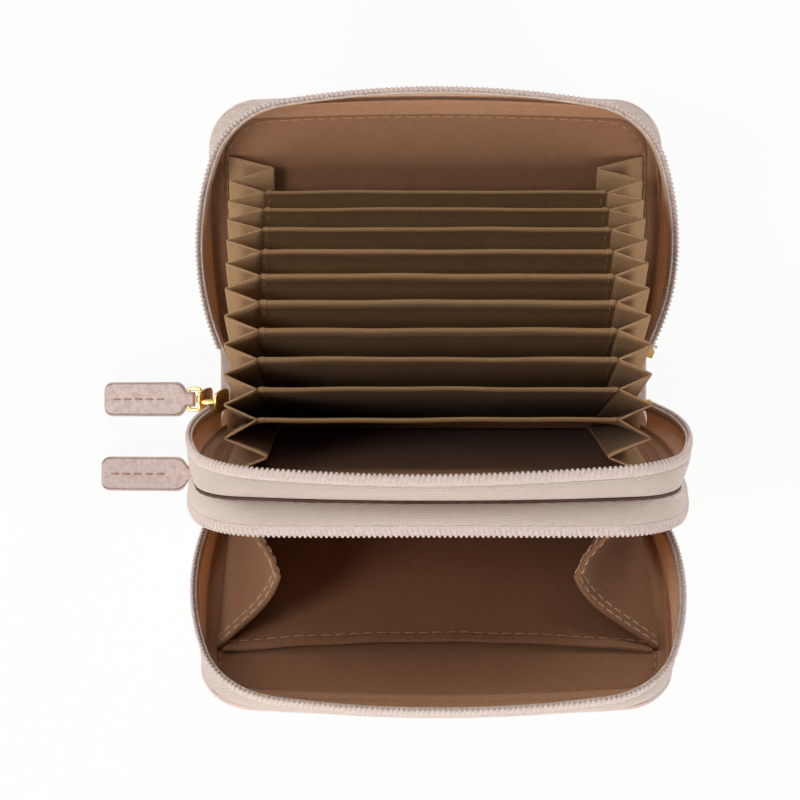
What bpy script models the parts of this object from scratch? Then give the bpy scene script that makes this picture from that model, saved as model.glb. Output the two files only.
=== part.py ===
"""Zip wallet with two compartments, standing wide open on its spine.

One leather skin makes two covers and the spine between them. A double wall stands on the spine
and parts the compartments. The first holds ten card dividers in an accordion, between pleated
gussets. The second is a coin space with a folded gusset at each end and a slip pocket on its
cover. Each compartment has a coil zip on three sides, half on its cover and half on the wall.

Frame: +X along the spine, +Y towards the card side's cover, +Z up, and the origin under the
middle of the spine. Covers, wall and dividers are drawn upright, as in the shut wallet, and then
leaned about their folds. All sizes are in metres.
"""

import math
from collections import namedtuple

import bmesh
import bpy
from mathutils import Matrix, Vector

# Skin, linings and the gaps between neighbours
LEATHER = 0.0016
BOARD = 0.0008
LINING = 0.0005
CLEAR = 0.0003
LEATHER_ROUND = 0.0004

# Distance between a cover's fold line and the wall's middle, and the leans of the open wallet
COMPARTMENT = 0.021
CARD_COVER_LEAN = math.radians(65.4)
COIN_COVER_LEAN = math.radians(41.5)
WALL_LEAN = math.radians(12.1)
FOLD_ROOM = 0.001
FOLD_ROLL = 0.00065

# Outlines seen square on, each of three arcs a side, with heights above a cover's fold line
Outline = namedtuple("Outline", "half side_radius side_height top top_radius corner")
RIM_HALF = 0.0632
RIM_SIDE_RADIUS = 0.080
RIM_SIDE_HEIGHT = 0.032
RIM_TOP = 0.0795
RIM_TOP_RADIUS = 0.233
RIM_CORNER = 0.024
EDGE_HALF = 0.0618
EDGE_SIDE_RADIUS = 0.150
EDGE_SIDE_HEIGHT = 0.034
EDGE_TOP = 0.0755
EDGE_TOP_RADIUS = 0.300
EDGE_CORNER = 0.013
RIM = Outline(RIM_HALF, RIM_SIDE_RADIUS, RIM_SIDE_HEIGHT, RIM_TOP, RIM_TOP_RADIUS, RIM_CORNER)
EDGE = Outline(EDGE_HALF, EDGE_SIDE_RADIUS, EDGE_SIDE_HEIGHT, EDGE_TOP, EDGE_TOP_RADIUS, EDGE_CORNER)
SIDE_STEPS = 7
CORNER_STEPS = 7
TOP_STEPS = 5
BOARD_INSET = 0.002

# Zip: half a coil on each side of a gap in which the slider's post runs
COIL_GAP = 0.002
COIL_WIDTH = 0.003
COIL_THICK = 0.0012
TOOTH = 0.0011
TOOTH_PITCH = 0.0019
COIL_FOOT = 0.0058
TAPE = 0.0007
TAPE_FOOT = 0.0035
TAPE_START = 0.0005
TAPE_SWELL = 0.0006
TAPE_BEND_SHARE = 0.62
STOP_LENGTH = 0.0020
STOP_THICK = 0.0022
STOP_WIDTH = COIL_WIDTH - CLEAR

# Linings, folded up inside the tapes
LINING_FOOT = 0.0032
LINING_SHORT = 0.0010
LINING_BEND_SHARE = 0.55
LINING_TOP_SHARE = 0.86
SPINE_LINING_INSET = 0.0020
FLOOR = 0.0004
FLOOR_MARGIN = 0.0006

# Accordion of card dividers
DIVIDERS = 10
DIVIDER_WIDTH = 0.0884
DIVIDER_HEIGHT = 0.0545
DIVIDER = 0.0006
DIVIDER_ROLL = 0.0006
ROLL_STEPS = 5
FIRST_LEAN = math.radians(1.2)
LEAN_STEP = math.radians(6.35)
PLEAT = 0.0009
PLEAT_OUT = 0.0084
PLEAT_IN = 0.0024
PLEAT_SEAM_OUT = 0.0086
PLEAT_SHORT = 0.0008
PLEAT_LIFT = 0.0006
SEAM_HEIGHT = 0.056

# Coin gussets
COIN_GUSSET = 0.0006
COIN_SEAM = 0.0555
COIN_CREASE_LEFT = 0.0399
COIN_CREASE_RIGHT = 0.0351
COIN_CREASE_FOOT = 0.0530
COIN_TOP = 0.054
COIN_FOOT = 0.0045
COIN_ROWS = 4

# Slip pocket on the coin cover
POCKET = 0.0006
POCKET_HALF = 0.0540
POCKET_TOP = 0.0515
POCKET_FOOT = 0.006
POCKET_GAPE = 0.0026
POCKET_DROP = 0.0020
POCKET_COLUMNS = 8
POCKET_ROWS = 4

# Sliders, their rings and leather pulls
SLIDER_HEIGHT = 0.0090
SLIDER_LENGTH = 0.0092
SLIDER_HALF = 0.0030
SLIDER_NOSE = 0.0024
SLIDER_TAIL = 0.0024
SLIDER_PLATE = 0.0008
SLIDER_CHANNEL = 0.0039
SLIDER_POST = 0.0008
POST_LENGTH = 0.0030
LUG_LENGTH = 0.0028
LUG_WIDTH = 0.0024
LUG_RISE = 0.0023
LUG_BORE = 0.0016
RING_WIRE = 0.0010
RING_WIDTH = 0.0068
RING_LENGTH = 0.0034
RING_CHAMFER = 0.0008
TAB_LENGTH = 0.0250
TAB_WIDTH = 0.0094
TAB_THICK = 0.0020
TAB_TONGUE = 0.0040
TAB_SHOULDER = 0.0034
TAB_NECK = 0.0010
TAB_CORNER = 0.0022
TAB_REST = 0.0006
CUT_OVERRUN = 0.0005

SIDES = {"left": -1, "right": 1}
COIN_CREASE_TOPS = {"left": COIN_CREASE_LEFT, "right": COIN_CREASE_RIGHT}

# Depths from a panel's own plane to the faces inside it
COVER_FACE = LEATHER / 2 + CLEAR + BOARD + CLEAR + LINING
WALL_FACE = BOARD / 2 + CLEAR + LINING
RIM_DEPTH = (COMPARTMENT - COIL_GAP) / 2
TAPE_TOP = RIM_DEPTH - COIL_WIDTH
COIL_BASE = TAPE_TOP + CLEAR

# Heights of the fold lines above the ground
FOLD_HEIGHT = LEATHER / 2
SPINE_FACE = LEATHER + CLEAR + LINING
WALL_HEIGHT = SPINE_FACE + CLEAR
FLOOR_FACE = SPINE_FACE + CLEAR + FLOOR
DIVIDER_FOOT = FLOOR_FACE + CLEAR + DIVIDER / 2

DIVIDER_PITCH = (COMPARTMENT - COVER_FACE - WALL_FACE) / (DIVIDERS + 1)

# The accordion gusset's fold lines, set from the dividers' ends
PLEAT_TIP = DIVIDER_WIDTH / 2 + PLEAT_OUT
PLEAT_CREASE = DIVIDER_WIDTH / 2 - PLEAT_IN
PLEAT_SEAM = DIVIDER_WIDTH / 2 + PLEAT_SEAM_OUT

BLUSH = (0.72, 0.56, 0.52)
TAPE_PINK = (0.76, 0.63, 0.58)
COIL_PINK = (0.82, 0.72, 0.68)
TAN = (0.36, 0.20, 0.11)
PALE_TAN = (0.42, 0.30, 0.18)
GREY = (0.35, 0.33, 0.30)
GOLD = (0.80, 0.58, 0.27)

# A leaning panel: its empty, its fold line's place, its lean, the way its inside faces, its face's depth
Panel = namedtuple("Panel", "empty fold height lean inward face")


def clear_scene():
    """Remove what the startup scene holds."""
    for old in list(bpy.data.objects):
        bpy.data.objects.remove(old)


def make_collection(name, shown):
    """Return a new collection under the scene's own."""
    collection = bpy.data.collections.new(name)
    bpy.context.scene.collection.children.link(collection)
    collection.hide_render = not shown
    return collection


def material(name, colour, roughness, metallic):
    """Return a Principled material of a plain finish."""
    made = bpy.data.materials.new(name)
    made.use_nodes = True
    shader = made.node_tree.nodes["Principled BSDF"]
    shader.inputs["Base Color"].default_value = (*colour, 1)
    shader.inputs["Roughness"].default_value = roughness
    shader.inputs["Metallic"].default_value = metallic
    return made


def place(name, data, finish, parent=None):
    """Put data in the wallet's collection as one named object."""
    made = bpy.data.objects.new(name, data)
    WALLET.objects.link(made)
    made.data.materials.append(finish)
    made.parent = parent
    return made


def empty_at(name, spot, turn=(0, 0, 0), parent=None):
    """Return an empty that carries the pieces of one hinge."""
    made = bpy.data.objects.new(name, None)
    WALLET.objects.link(made)
    made.location = spot
    made.rotation_euler = turn
    made.parent = parent
    return made


def thicken(made, thickness):
    """Give an open surface its thickness, half to each side."""
    shell = made.modifiers.new("Thickness", "SOLIDIFY")
    shell.thickness = thickness
    shell.offset = 0
    shell.use_even_offset = False


def arc(centre, radius, start, end, steps):
    """Return the points of an arc, both ends included."""
    angles = [start + (end - start) * i / steps for i in range(steps + 1)]
    return [
        (centre[0] + radius * math.cos(a), centre[1] + radius * math.sin(a)) for a in angles
    ]


def inset(shape, by):
    """Return the outline that runs inside another at an even distance."""
    return Outline(
        shape.half - by,
        shape.side_radius - by,
        shape.side_height,
        shape.top - by,
        shape.top_radius - by,
        shape.corner - by,
    )


def corner_centre(shape):
    """Return the centre of the corner arc, which touches the side's arc and the top's from inside."""
    side = Vector((shape.half - shape.side_radius, shape.side_height))
    top = Vector((0, shape.top - shape.top_radius))
    reach_side = shape.side_radius - shape.corner
    reach_top = shape.top_radius - shape.corner
    between = top - side
    apart = between.length
    along = (reach_side**2 - reach_top**2 + apart**2) / (2 * apart)
    across = math.sqrt(reach_side**2 - along**2)
    unit = between / apart
    return side, top, side + unit * along + Vector((-unit.y, unit.x)) * across


def outline_points(shape, foot):
    """Return (x, height) points from the left foot over the top to the right foot."""
    side, top, corner = corner_centre(shape)
    to_side = corner - side
    to_top = corner - top
    low = math.asin((foot - shape.side_height) / shape.side_radius)
    side_end = math.atan2(to_side.y, to_side.x)
    top_end = math.atan2(to_top.y, to_top.x)
    right = arc(side, shape.side_radius, low, side_end, SIDE_STEPS)
    right += arc(corner, shape.corner, side_end, top_end, CORNER_STEPS)[1:]
    right += arc(top, shape.top_radius, top_end, math.pi / 2, TOP_STEPS)[1:]
    left = [(-x, z) for x, z in right]
    return left + right[-2::-1]


def blend(first, second, share):
    """Return the points that lie a share of the way from one outline to another."""
    return [
        (a[0] + (b[0] - a[0]) * share, a[1] + (b[1] - a[1]) * share)
        for a, b in zip(first, second)
    ]


def along_line(points, distances):
    """Return the points at these distances along a polyline."""
    found = []
    index = 0
    passed = 0
    for distance in distances:
        while True:
            start = Vector(points[index])
            step = Vector(points[index + 1]) - start
            if distance <= passed + step.length or index == len(points) - 2:
                break
            passed += step.length
            index += 1
        found.append(tuple(start + step * ((distance - passed) / step.length)))
    return found


def length_of(points):
    """Return a polyline's length."""
    return sum(math.dist(a, b) for a, b in zip(points, points[1:]))


def in_panel(panel, point, depth):
    """Return a panel's own coordinates of an outline point, at a depth inside the panel."""
    return Vector((point[0], panel.inward * depth, point[1] + FOLD_HEIGHT - panel.height))


def in_world(panel, point, depth):
    """Return where a point of a panel lies in the open wallet."""
    upright = in_panel(panel, point, depth)
    leaned = Matrix.Rotation(-panel.lean, 3, "X") @ upright
    return leaned + Vector((0, panel.fold, panel.height))


def sheet(name, rows, finish, thickness, parent=None):
    """Make one sheet through rows of points, each row as long as the next."""
    mesh = bpy.data.meshes.new(name)
    built = bmesh.new()
    grid = [[built.verts.new(point) for point in row] for row in rows]
    for low, high in zip(grid, grid[1:]):
        for i in range(len(low) - 1):
            built.faces.new((low[i], low[i + 1], high[i + 1], high[i]))
    bmesh.ops.recalc_face_normals(built, faces=built.faces)
    built.to_mesh(mesh)
    built.free()
    made = place(name, mesh, finish, parent)
    thicken(made, thickness)
    return made


def flat_curve(name, points, thickness, rounding=0.0):
    """Return curve data of a closed flat outline, extruded to a thickness."""
    curve = bpy.data.curves.new(name, "CURVE")
    curve.dimensions = "2D"
    curve.fill_mode = "BOTH"
    curve.extrude = thickness / 2 - rounding
    curve.bevel_depth = rounding
    curve.bevel_resolution = 1
    curve.offset = -rounding
    line = curve.splines.new("POLY")
    line.points.add(len(points) - 1)
    for spot, (x, y) in zip(line.points, points):
        spot.co = (x, y, 0, 1)
    line.use_cyclic_u = True
    return curve


def plate(name, panel, shape, foot, depth, thickness, finish, rounding=0.0):
    """Make a flat plate of an outline at a depth in a panel."""
    curve = flat_curve(name, outline_points(shape, foot), thickness, rounding)
    made = place(name, curve, finish, panel.empty)
    made.rotation_euler = (math.pi / 2, 0, 0)
    made.location = (0, panel.inward * depth, FOLD_HEIGHT - panel.height)
    return made


def mesh_of(made):
    """Turn a curve object into a mesh object of the same name, with its caps welded."""
    bpy.context.view_layer.update()
    graph = bpy.context.evaluated_depsgraph_get()
    mesh = bpy.data.meshes.new_from_object(made.evaluated_get(graph))
    built = bmesh.new()
    built.from_mesh(mesh)
    bmesh.ops.remove_doubles(built, verts=built.verts, dist=CLEAR / 100)
    bmesh.ops.recalc_face_normals(built, faces=built.faces)
    built.to_mesh(mesh)
    built.free()
    name = made.name
    parent = made.parent
    finish = made.data.materials[0]
    stood = made.matrix_basis.copy()
    bpy.data.objects.remove(made)
    mesh.materials.clear()
    solid = place(name, mesh, finish, parent)
    solid.matrix_basis = stood
    return solid


def block(name, size, middle, finish, parent):
    """Make a box of a size about its middle."""
    mesh = bpy.data.meshes.new(name)
    built = bmesh.new()
    bmesh.ops.create_cube(built, size=1)
    bmesh.ops.scale(built, vec=size, verts=built.verts)
    bmesh.ops.translate(built, vec=middle, verts=built.verts)
    built.to_mesh(mesh)
    built.free()
    return place(name, mesh, finish, parent)


def rod(name, radius, length, sides, middle, turn, finish, parent):
    """Make a round bar about its middle."""
    mesh = bpy.data.meshes.new(name)
    built = bmesh.new()
    bmesh.ops.create_cone(
        built, cap_ends=True, segments=sides, radius1=radius, radius2=radius, depth=length
    )
    built.to_mesh(mesh)
    built.free()
    made = place(name, mesh, finish, parent)
    made.location = middle
    made.rotation_euler = turn
    mesh.shade_smooth()
    mesh.set_sharp_from_angle(angle=math.radians(40))
    return made


def combine(base, other, operation):
    """Join or cut one solid with another, which becomes a hidden helper."""
    made = base.modifiers.new(other.name, "BOOLEAN")
    made.operation = operation
    made.object = other
    other.hide_render = True
    other.display_type = "WIRE"
    WALLET.objects.unlink(other)
    HELPERS.objects.link(other)


def tape(name, panel, finish):
    """Make half a zip's tape: a fence from the leather's edge out to the coil."""
    foot = TAPE_FOOT
    edge = outline_points(inset(EDGE, TAPE), foot)
    rim = outline_points(RIM, foot)
    swollen = outline_points(inset(RIM, -TAPE_SWELL), foot)
    start = TAPE_START
    if panel.face == COVER_FACE:
        start = LEATHER / 2 + CLEAR + TAPE_START / 2
    middle = (start + TAPE_TOP) / 2
    rows = [
        [in_panel(panel, point, start) for point in edge],
        [in_panel(panel, point, middle) for point in blend(edge, swollen, TAPE_BEND_SHARE)],
        [in_panel(panel, point, TAPE_TOP) for point in rim],
    ]
    return sheet(name, rows, finish, TAPE, panel.empty)


def coil(name, panel, finish):
    """Make half a zip's coil: a ribbon on the rim whose free edge is cut into teeth."""
    rim = outline_points(RIM, COIL_FOOT)
    total = length_of(rim)
    count = round(total / TOOTH_PITCH)
    pitch = total / count
    ends = along_line(rim, [pitch * i for i in range(count + 1)])
    middles = along_line(rim, [pitch * (i + 0.5) for i in range(count)])
    mesh = bpy.data.meshes.new(name)
    built = bmesh.new()
    base = [built.verts.new(in_panel(panel, p, COIL_BASE)) for p in ends]
    valley = [built.verts.new(in_panel(panel, p, RIM_DEPTH - TOOTH)) for p in ends]
    peak = [built.verts.new(in_panel(panel, p, RIM_DEPTH)) for p in middles]
    for i in range(count):
        built.faces.new((base[i], base[i + 1], peak[i]))
        built.faces.new((base[i], peak[i], valley[i]))
        built.faces.new((base[i + 1], valley[i + 1], peak[i]))
    bmesh.ops.recalc_face_normals(built, faces=built.faces)
    built.to_mesh(mesh)
    built.free()
    made = place(name, mesh, finish, panel.empty)
    thicken(made, COIL_THICK)
    return made


def stop(name, panel, finish):
    """Make the crimped stop below the right-hand end of a coil."""
    end = Vector(outline_points(RIM, COIL_FOOT)[-1])
    below = Vector(outline_points(RIM, COIL_FOOT - STOP_LENGTH)[-1])
    run = (below - end).normalized()
    middle = end + run * (CLEAR + STOP_LENGTH / 2)
    size = (STOP_THICK, STOP_WIDTH, STOP_LENGTH)
    made = block(name, size, (0, 0, 0), finish, panel.empty)
    made.location = in_panel(panel, middle, RIM_DEPTH - STOP_WIDTH / 2)
    made.rotation_euler = (0, math.atan2(-run.x, -run.y), 0)
    return made


def lining(name, panel, finish):
    """Make a panel's lining: a flat sheet whose edge is folded up inside the tape."""
    foot = LINING_FOOT
    gap = TAPE / 2 + CLEAR + LINING / 2
    edge = outline_points(inset(EDGE, TAPE + gap), foot)
    swollen = outline_points(inset(RIM, gap - TAPE_SWELL), foot)
    rim = outline_points(inset(RIM, gap), foot)
    depth = panel.face - LINING / 2
    top = TAPE_TOP - LINING_SHORT
    middle = (depth + top) / 2
    rows = [
        [in_panel(panel, point, depth) for point in edge],
        [in_panel(panel, point, middle) for point in blend(edge, swollen, LINING_BEND_SHARE)],
        [in_panel(panel, point, top) for point in blend(edge, rim, LINING_TOP_SHARE)],
    ]
    made = sheet(name, rows, finish, LINING, panel.empty)
    built = bmesh.new()
    built.from_mesh(made.data)
    built.verts.ensure_lookup_table()
    built.faces.new([built.verts[i] for i in range(len(edge))])
    bmesh.ops.recalc_face_normals(built, faces=built.faces)
    built.to_mesh(made.data)
    built.free()
    return made


def divider_profile():
    """Return a divider's cross-section: a doubled sheet with its fold as a small roll on top."""
    half = DIVIDER / 2
    start = -math.acos(min(1, half / DIVIDER_ROLL))
    middle = (0, DIVIDER_HEIGHT - DIVIDER_ROLL)
    roll = arc(middle, DIVIDER_ROLL, start, math.pi - start, ROLL_STEPS)
    return [(-half, 0), (half, 0)] + roll


def divider_lean(index):
    """Return the lean of a divider, counted from the wall."""
    return FIRST_LEAN + LEAN_STEP * index


def divider_fold(index):
    """Return the place of a divider's bottom fold along Y."""
    return WALL_FACE + DIVIDER_PITCH * (index + 1)


def dividers(finish):
    """Make the accordion's dividers, each about its own bottom fold."""
    for index in range(DIVIDERS):
        name = f"divider_{index + 1:02d}"
        spot = (0, divider_fold(index), DIVIDER_FOOT)
        hinge = empty_at(name + "_fold", spot, (-divider_lean(index), 0, 0))
        made = place(name, flat_curve(name, divider_profile(), DIVIDER_WIDTH), finish, hinge)
        made.rotation_euler = (math.pi / 2, 0, math.pi / 2)


def lean_point(fold, foot, lean, run):
    """Return (y, z) at a distance up a leaning line."""
    return fold + run * math.sin(lean), foot + run * math.cos(lean)


def pleat_lines(wall, cover):
    """Return the accordion gusset's fold lines as (x, foot, head), from the wall to the cover."""
    reach = DIVIDER_HEIGHT - PLEAT_SHORT
    edge_x = DIVIDER_WIDTH / 2 + CLEAR
    folds = []
    for index in range(DIVIDERS):
        fold = divider_fold(index)
        lean = divider_lean(index)
        foot = lean_point(fold, DIVIDER_FOOT, lean, PLEAT_LIFT)
        head = lean_point(fold, DIVIDER_FOOT, lean, reach)
        folds.append((edge_x, Vector(foot), Vector(head)))
    seams = []
    for panel in (wall, cover):
        low = in_world(panel, (0, COIN_FOOT), panel.face + CLEAR)
        high = in_world(panel, (0, SEAM_HEIGHT), panel.face + CLEAR)
        seams.append((PLEAT_SEAM, Vector(low.yz), Vector(high.yz)))
    lines = [seams[0]]
    lines += step_lines(seams[0], folds[0])
    for first, second in zip(folds, folds[1:]):
        lines.append(first)
        lines.append(mean_line(first, second, 0.5, PLEAT_TIP))
    lines.append(folds[-1])
    lines += reversed(step_lines(seams[1], folds[-1]))
    lines.append(seams[1])
    return lines


def mean_line(first, second, share, x):
    """Return a fold line between two others."""
    return x, first[1].lerp(second[1], share), first[2].lerp(second[2], share)


def step_lines(seam, fold):
    """Return the inward crease and the outward tip between a seam and the nearest divider."""
    crease = mean_line(seam, fold, 1 / 3, PLEAT_CREASE)
    tip = mean_line(seam, fold, 2 / 3, PLEAT_TIP)
    return [crease, tip]


def accordion_gusset(side, wall, cover, finish):
    """Make the pleated strip that joins the dividers' ends on one side."""
    sign = SIDES[side]
    lines = pleat_lines(wall, cover)
    mesh = bpy.data.meshes.new("accordion_gusset_" + side)
    built = bmesh.new()
    feet = [built.verts.new((sign * x, foot.x, foot.y)) for x, foot, head in lines]
    heads = [built.verts.new((sign * x, head.x, head.y)) for x, foot, head in lines]
    for i in range(len(lines) - 1):
        built.faces.new((feet[i], feet[i + 1], heads[i + 1], heads[i]))
    grown = bmesh.ops.extrude_face_region(built, geom=built.faces[:])
    moved = [item for item in grown["geom"] if isinstance(item, bmesh.types.BMVert)]
    bmesh.ops.translate(built, vec=(sign * PLEAT, 0, 0), verts=moved)
    bmesh.ops.recalc_face_normals(built, faces=built.faces)
    built.to_mesh(mesh)
    built.free()
    return place("accordion_gusset_" + side, mesh, finish)


def coin_gusset(side, wall, cover, finish):
    """Make the folded gusset at one end of the coin space."""
    sign = SIDES[side]
    rows = []
    for row in range(COIN_ROWS):
        share = row / (COIN_ROWS - 1)
        height = COIN_FOOT + (COIN_TOP - COIN_FOOT) * share
        off = COIN_GUSSET / 2 + CLEAR
        seams = [
            in_world(panel, (sign * COIN_SEAM, height), panel.face + off)
            for panel in (wall, cover)
        ]
        crease = (seams[0] + seams[1]) / 2
        crease.x = sign * (COIN_CREASE_FOOT + (COIN_CREASE_TOPS[side] - COIN_CREASE_FOOT) * share)
        rows.append([seams[0], crease, seams[1]])
    return sheet("coin_gusset_" + side, rows, finish, COIN_GUSSET)


def slip_pocket(cover, finish):
    """Make the slip pocket: a panel that bows off the lining at its mouth."""
    rows = []
    flat = cover.face + CLEAR + POCKET / 2
    for row in range(POCKET_ROWS + 1):
        up = row / POCKET_ROWS
        points = []
        for column in range(POCKET_COLUMNS + 1):
            across = 2 * column / POCKET_COLUMNS - 1
            bow = up * up * (1 - across * across)
            top = POCKET_TOP + POCKET_DROP * across * across
            height = POCKET_FOOT + (top - POCKET_FOOT) * up
            depth = flat + POCKET_GAPE * bow
            points.append(in_panel(cover, (across * POCKET_HALF, height), depth))
        rows.append(points)
    return sheet("slip_pocket", rows, finish, POCKET, cover.empty)


def spine(leather, lining_finish):
    """Make the leather spine, its lining and the accordion's floor."""
    half_length = outline_points(EDGE, 0)[-1][0]
    half_width = COMPARTMENT - FOLD_ROOM
    corners = [
        (-half_length, -half_width),
        (half_length, -half_width),
        (half_length, half_width),
        (-half_length, half_width),
    ]
    skin = place("spine_leather", flat_curve("spine_leather", corners, LEATHER, LEATHER_ROUND), leather)
    skin.location = (0, 0, LEATHER / 2)
    inner_length = 2 * (half_length - SPINE_LINING_INSET)
    inner_width = 2 * (half_width - FLOOR_MARGIN)
    block(
        "spine_lining",
        (inner_length, inner_width, LINING),
        (0, 0, SPINE_FACE - LINING / 2),
        lining_finish,
        None,
    )
    near = WALL_FACE + FLOOR_MARGIN
    far = COMPARTMENT - COVER_FACE - FLOOR_MARGIN
    block(
        "accordion_floor",
        (DIVIDER_WIDTH, far - near, FLOOR),
        (0, (near + far) / 2, FLOOR_FACE - FLOOR / 2),
        lining_finish,
        None,
    )
    for name, way in (("card_fold", 1), ("coin_fold", -1)):
        rod(
            name,
            FOLD_ROLL,
            2 * half_length,
            10,
            (0, way * COMPARTMENT, FOLD_HEIGHT),
            (0, math.pi / 2, 0),
            leather,
            None,
        )


def slider(name, wall, inward, gold):
    """Make a slider on the wall's coil, about the centre of the arc that it runs along."""
    side, _, _ = corner_centre(RIM)
    lift = FOLD_HEIGHT - wall.height
    start = math.asin((SLIDER_HEIGHT - RIM.side_height) / RIM.side_radius)
    middle = inward * (RIM_DEPTH + COIL_GAP / 2)
    spot = (-side.x, middle, side.y + lift)
    track = empty_at(name + "_track", spot, (0, start, 0), wall.empty)
    reach = SLIDER_CHANNEL / 2 + SLIDER_PLATE / 2
    half = SLIDER_LENGTH / 2
    shield = [
        (-SLIDER_TAIL, -half),
        (SLIDER_TAIL, -half),
        (SLIDER_HALF, half / 3),
        (SLIDER_NOSE, half),
        (-SLIDER_NOSE, half),
        (-SLIDER_HALF, half / 3),
    ]
    halves = []
    for part_name, way in ((name, -1), (name + "_back", 1)):
        flat = place(part_name, flat_curve(part_name, shield, SLIDER_PLATE), gold, track)
        flat.rotation_euler = (math.pi / 2, 0, math.pi / 2)
        flat.location = (-RIM.side_radius + way * reach, 0, 0)
        halves.append(mesh_of(flat))
    front, back = halves
    post = block(
        name + "_post",
        (SLIDER_CHANNEL + SLIDER_PLATE, SLIDER_POST, POST_LENGTH),
        (-RIM.side_radius, 0, half - POST_LENGTH / 2 - SLIDER_PLATE / 2),
        gold,
        track,
    )
    lug_x = -RIM.side_radius - SLIDER_CHANNEL / 2 - SLIDER_PLATE
    lug = block(
        name + "_lug",
        (LUG_RISE + SLIDER_PLATE / 2, LUG_WIDTH, LUG_LENGTH),
        (lug_x - LUG_RISE / 2 + SLIDER_PLATE / 4, 0, 0),
        gold,
        track,
    )
    bar_x = lug_x - CLEAR - LUG_BORE / 2
    bore = rod(
        name + "_bore",
        LUG_BORE / 2,
        LUG_WIDTH + 2 * CUT_OVERRUN,
        12,
        (bar_x, 0, 0),
        (math.pi / 2, 0, 0),
        gold,
        track,
    )
    combine(front, post, "UNION")
    combine(front, back, "UNION")
    combine(front, lug, "UNION")
    combine(front, bore, "DIFFERENCE")
    return track, bar_x


def ring_points():
    """Return the ring's centre line: a chamfered rectangle from its bar in the lug outwards."""
    half = (RING_WIDTH - RING_WIRE) / 2
    far = -RING_LENGTH
    cut = RING_CHAMFER
    return [
        (0, half - cut),
        (-cut, half),
        (far + cut, half),
        (far, half - cut),
        (far, cut - half),
        (far + cut, -half),
        (-cut, -half),
        (0, cut - half),
    ]


def tab_points():
    """Return the leather pull's outline, from its tongue at the ring to its rounded end."""
    tongue = TAB_TONGUE / 2
    half = TAB_WIDTH / 2
    corner = TAB_CORNER
    neck = -RING_LENGTH - RING_WIRE / 2 - TAB_NECK
    tip = neck - TAB_LENGTH
    start = -RING_LENGTH + RING_WIRE / 2 + CLEAR + TAB_NECK / 2
    upper = [(start, tongue), (neck + TAB_NECK / 2, tongue), (neck - TAB_SHOULDER, half)]
    upper += arc((tip + corner, half - corner), corner, math.pi / 2, math.pi, 4)
    return upper + [(x, -y) for x, y in reversed(upper)]


def pull(name, track, bar_x, finish, gold):
    """Make a ring in the slider's lug and a leather pull on the ring, both about the lug's bar."""
    bpy.context.view_layer.update()
    bar = track.matrix_world @ Vector((bar_x, 0, 0))
    reach = RING_LENGTH + RING_WIRE / 2 + TAB_NECK + TAB_LENGTH
    drop = bar.z - TAB_THICK / 2 - TAB_REST
    slope = math.asin(drop / reach)
    hinge = empty_at(name + "_hinge", (0, 0, 0))
    stood = Matrix.Translation(bar) @ Matrix.Rotation(-slope, 4, "Y")
    hinge.matrix_world = stood
    wire = bpy.data.curves.new(name + "_ring", "CURVE")
    wire.dimensions = "3D"
    wire.bevel_depth = RING_WIRE / 2
    wire.bevel_resolution = 1
    line = wire.splines.new("POLY")
    points = ring_points()
    line.points.add(len(points) - 1)
    for spot, (x, y) in zip(line.points, points):
        spot.co = (x, y, 0, 1)
    line.use_cyclic_u = True
    place(name + "_ring", wire, gold, hinge)
    leather = place(name + "_leather", flat_curve(name + "_leather", tab_points(), TAB_THICK), finish, hinge)
    leather = mesh_of(leather)
    eye = rod(
        name + "_eye",
        RING_WIRE / 2 + CLEAR,
        TAB_WIDTH,
        12,
        (-RING_LENGTH, 0, 0),
        (math.pi / 2, 0, 0),
        gold,
        hinge,
    )
    combine(leather, eye, "DIFFERENCE")


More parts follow.
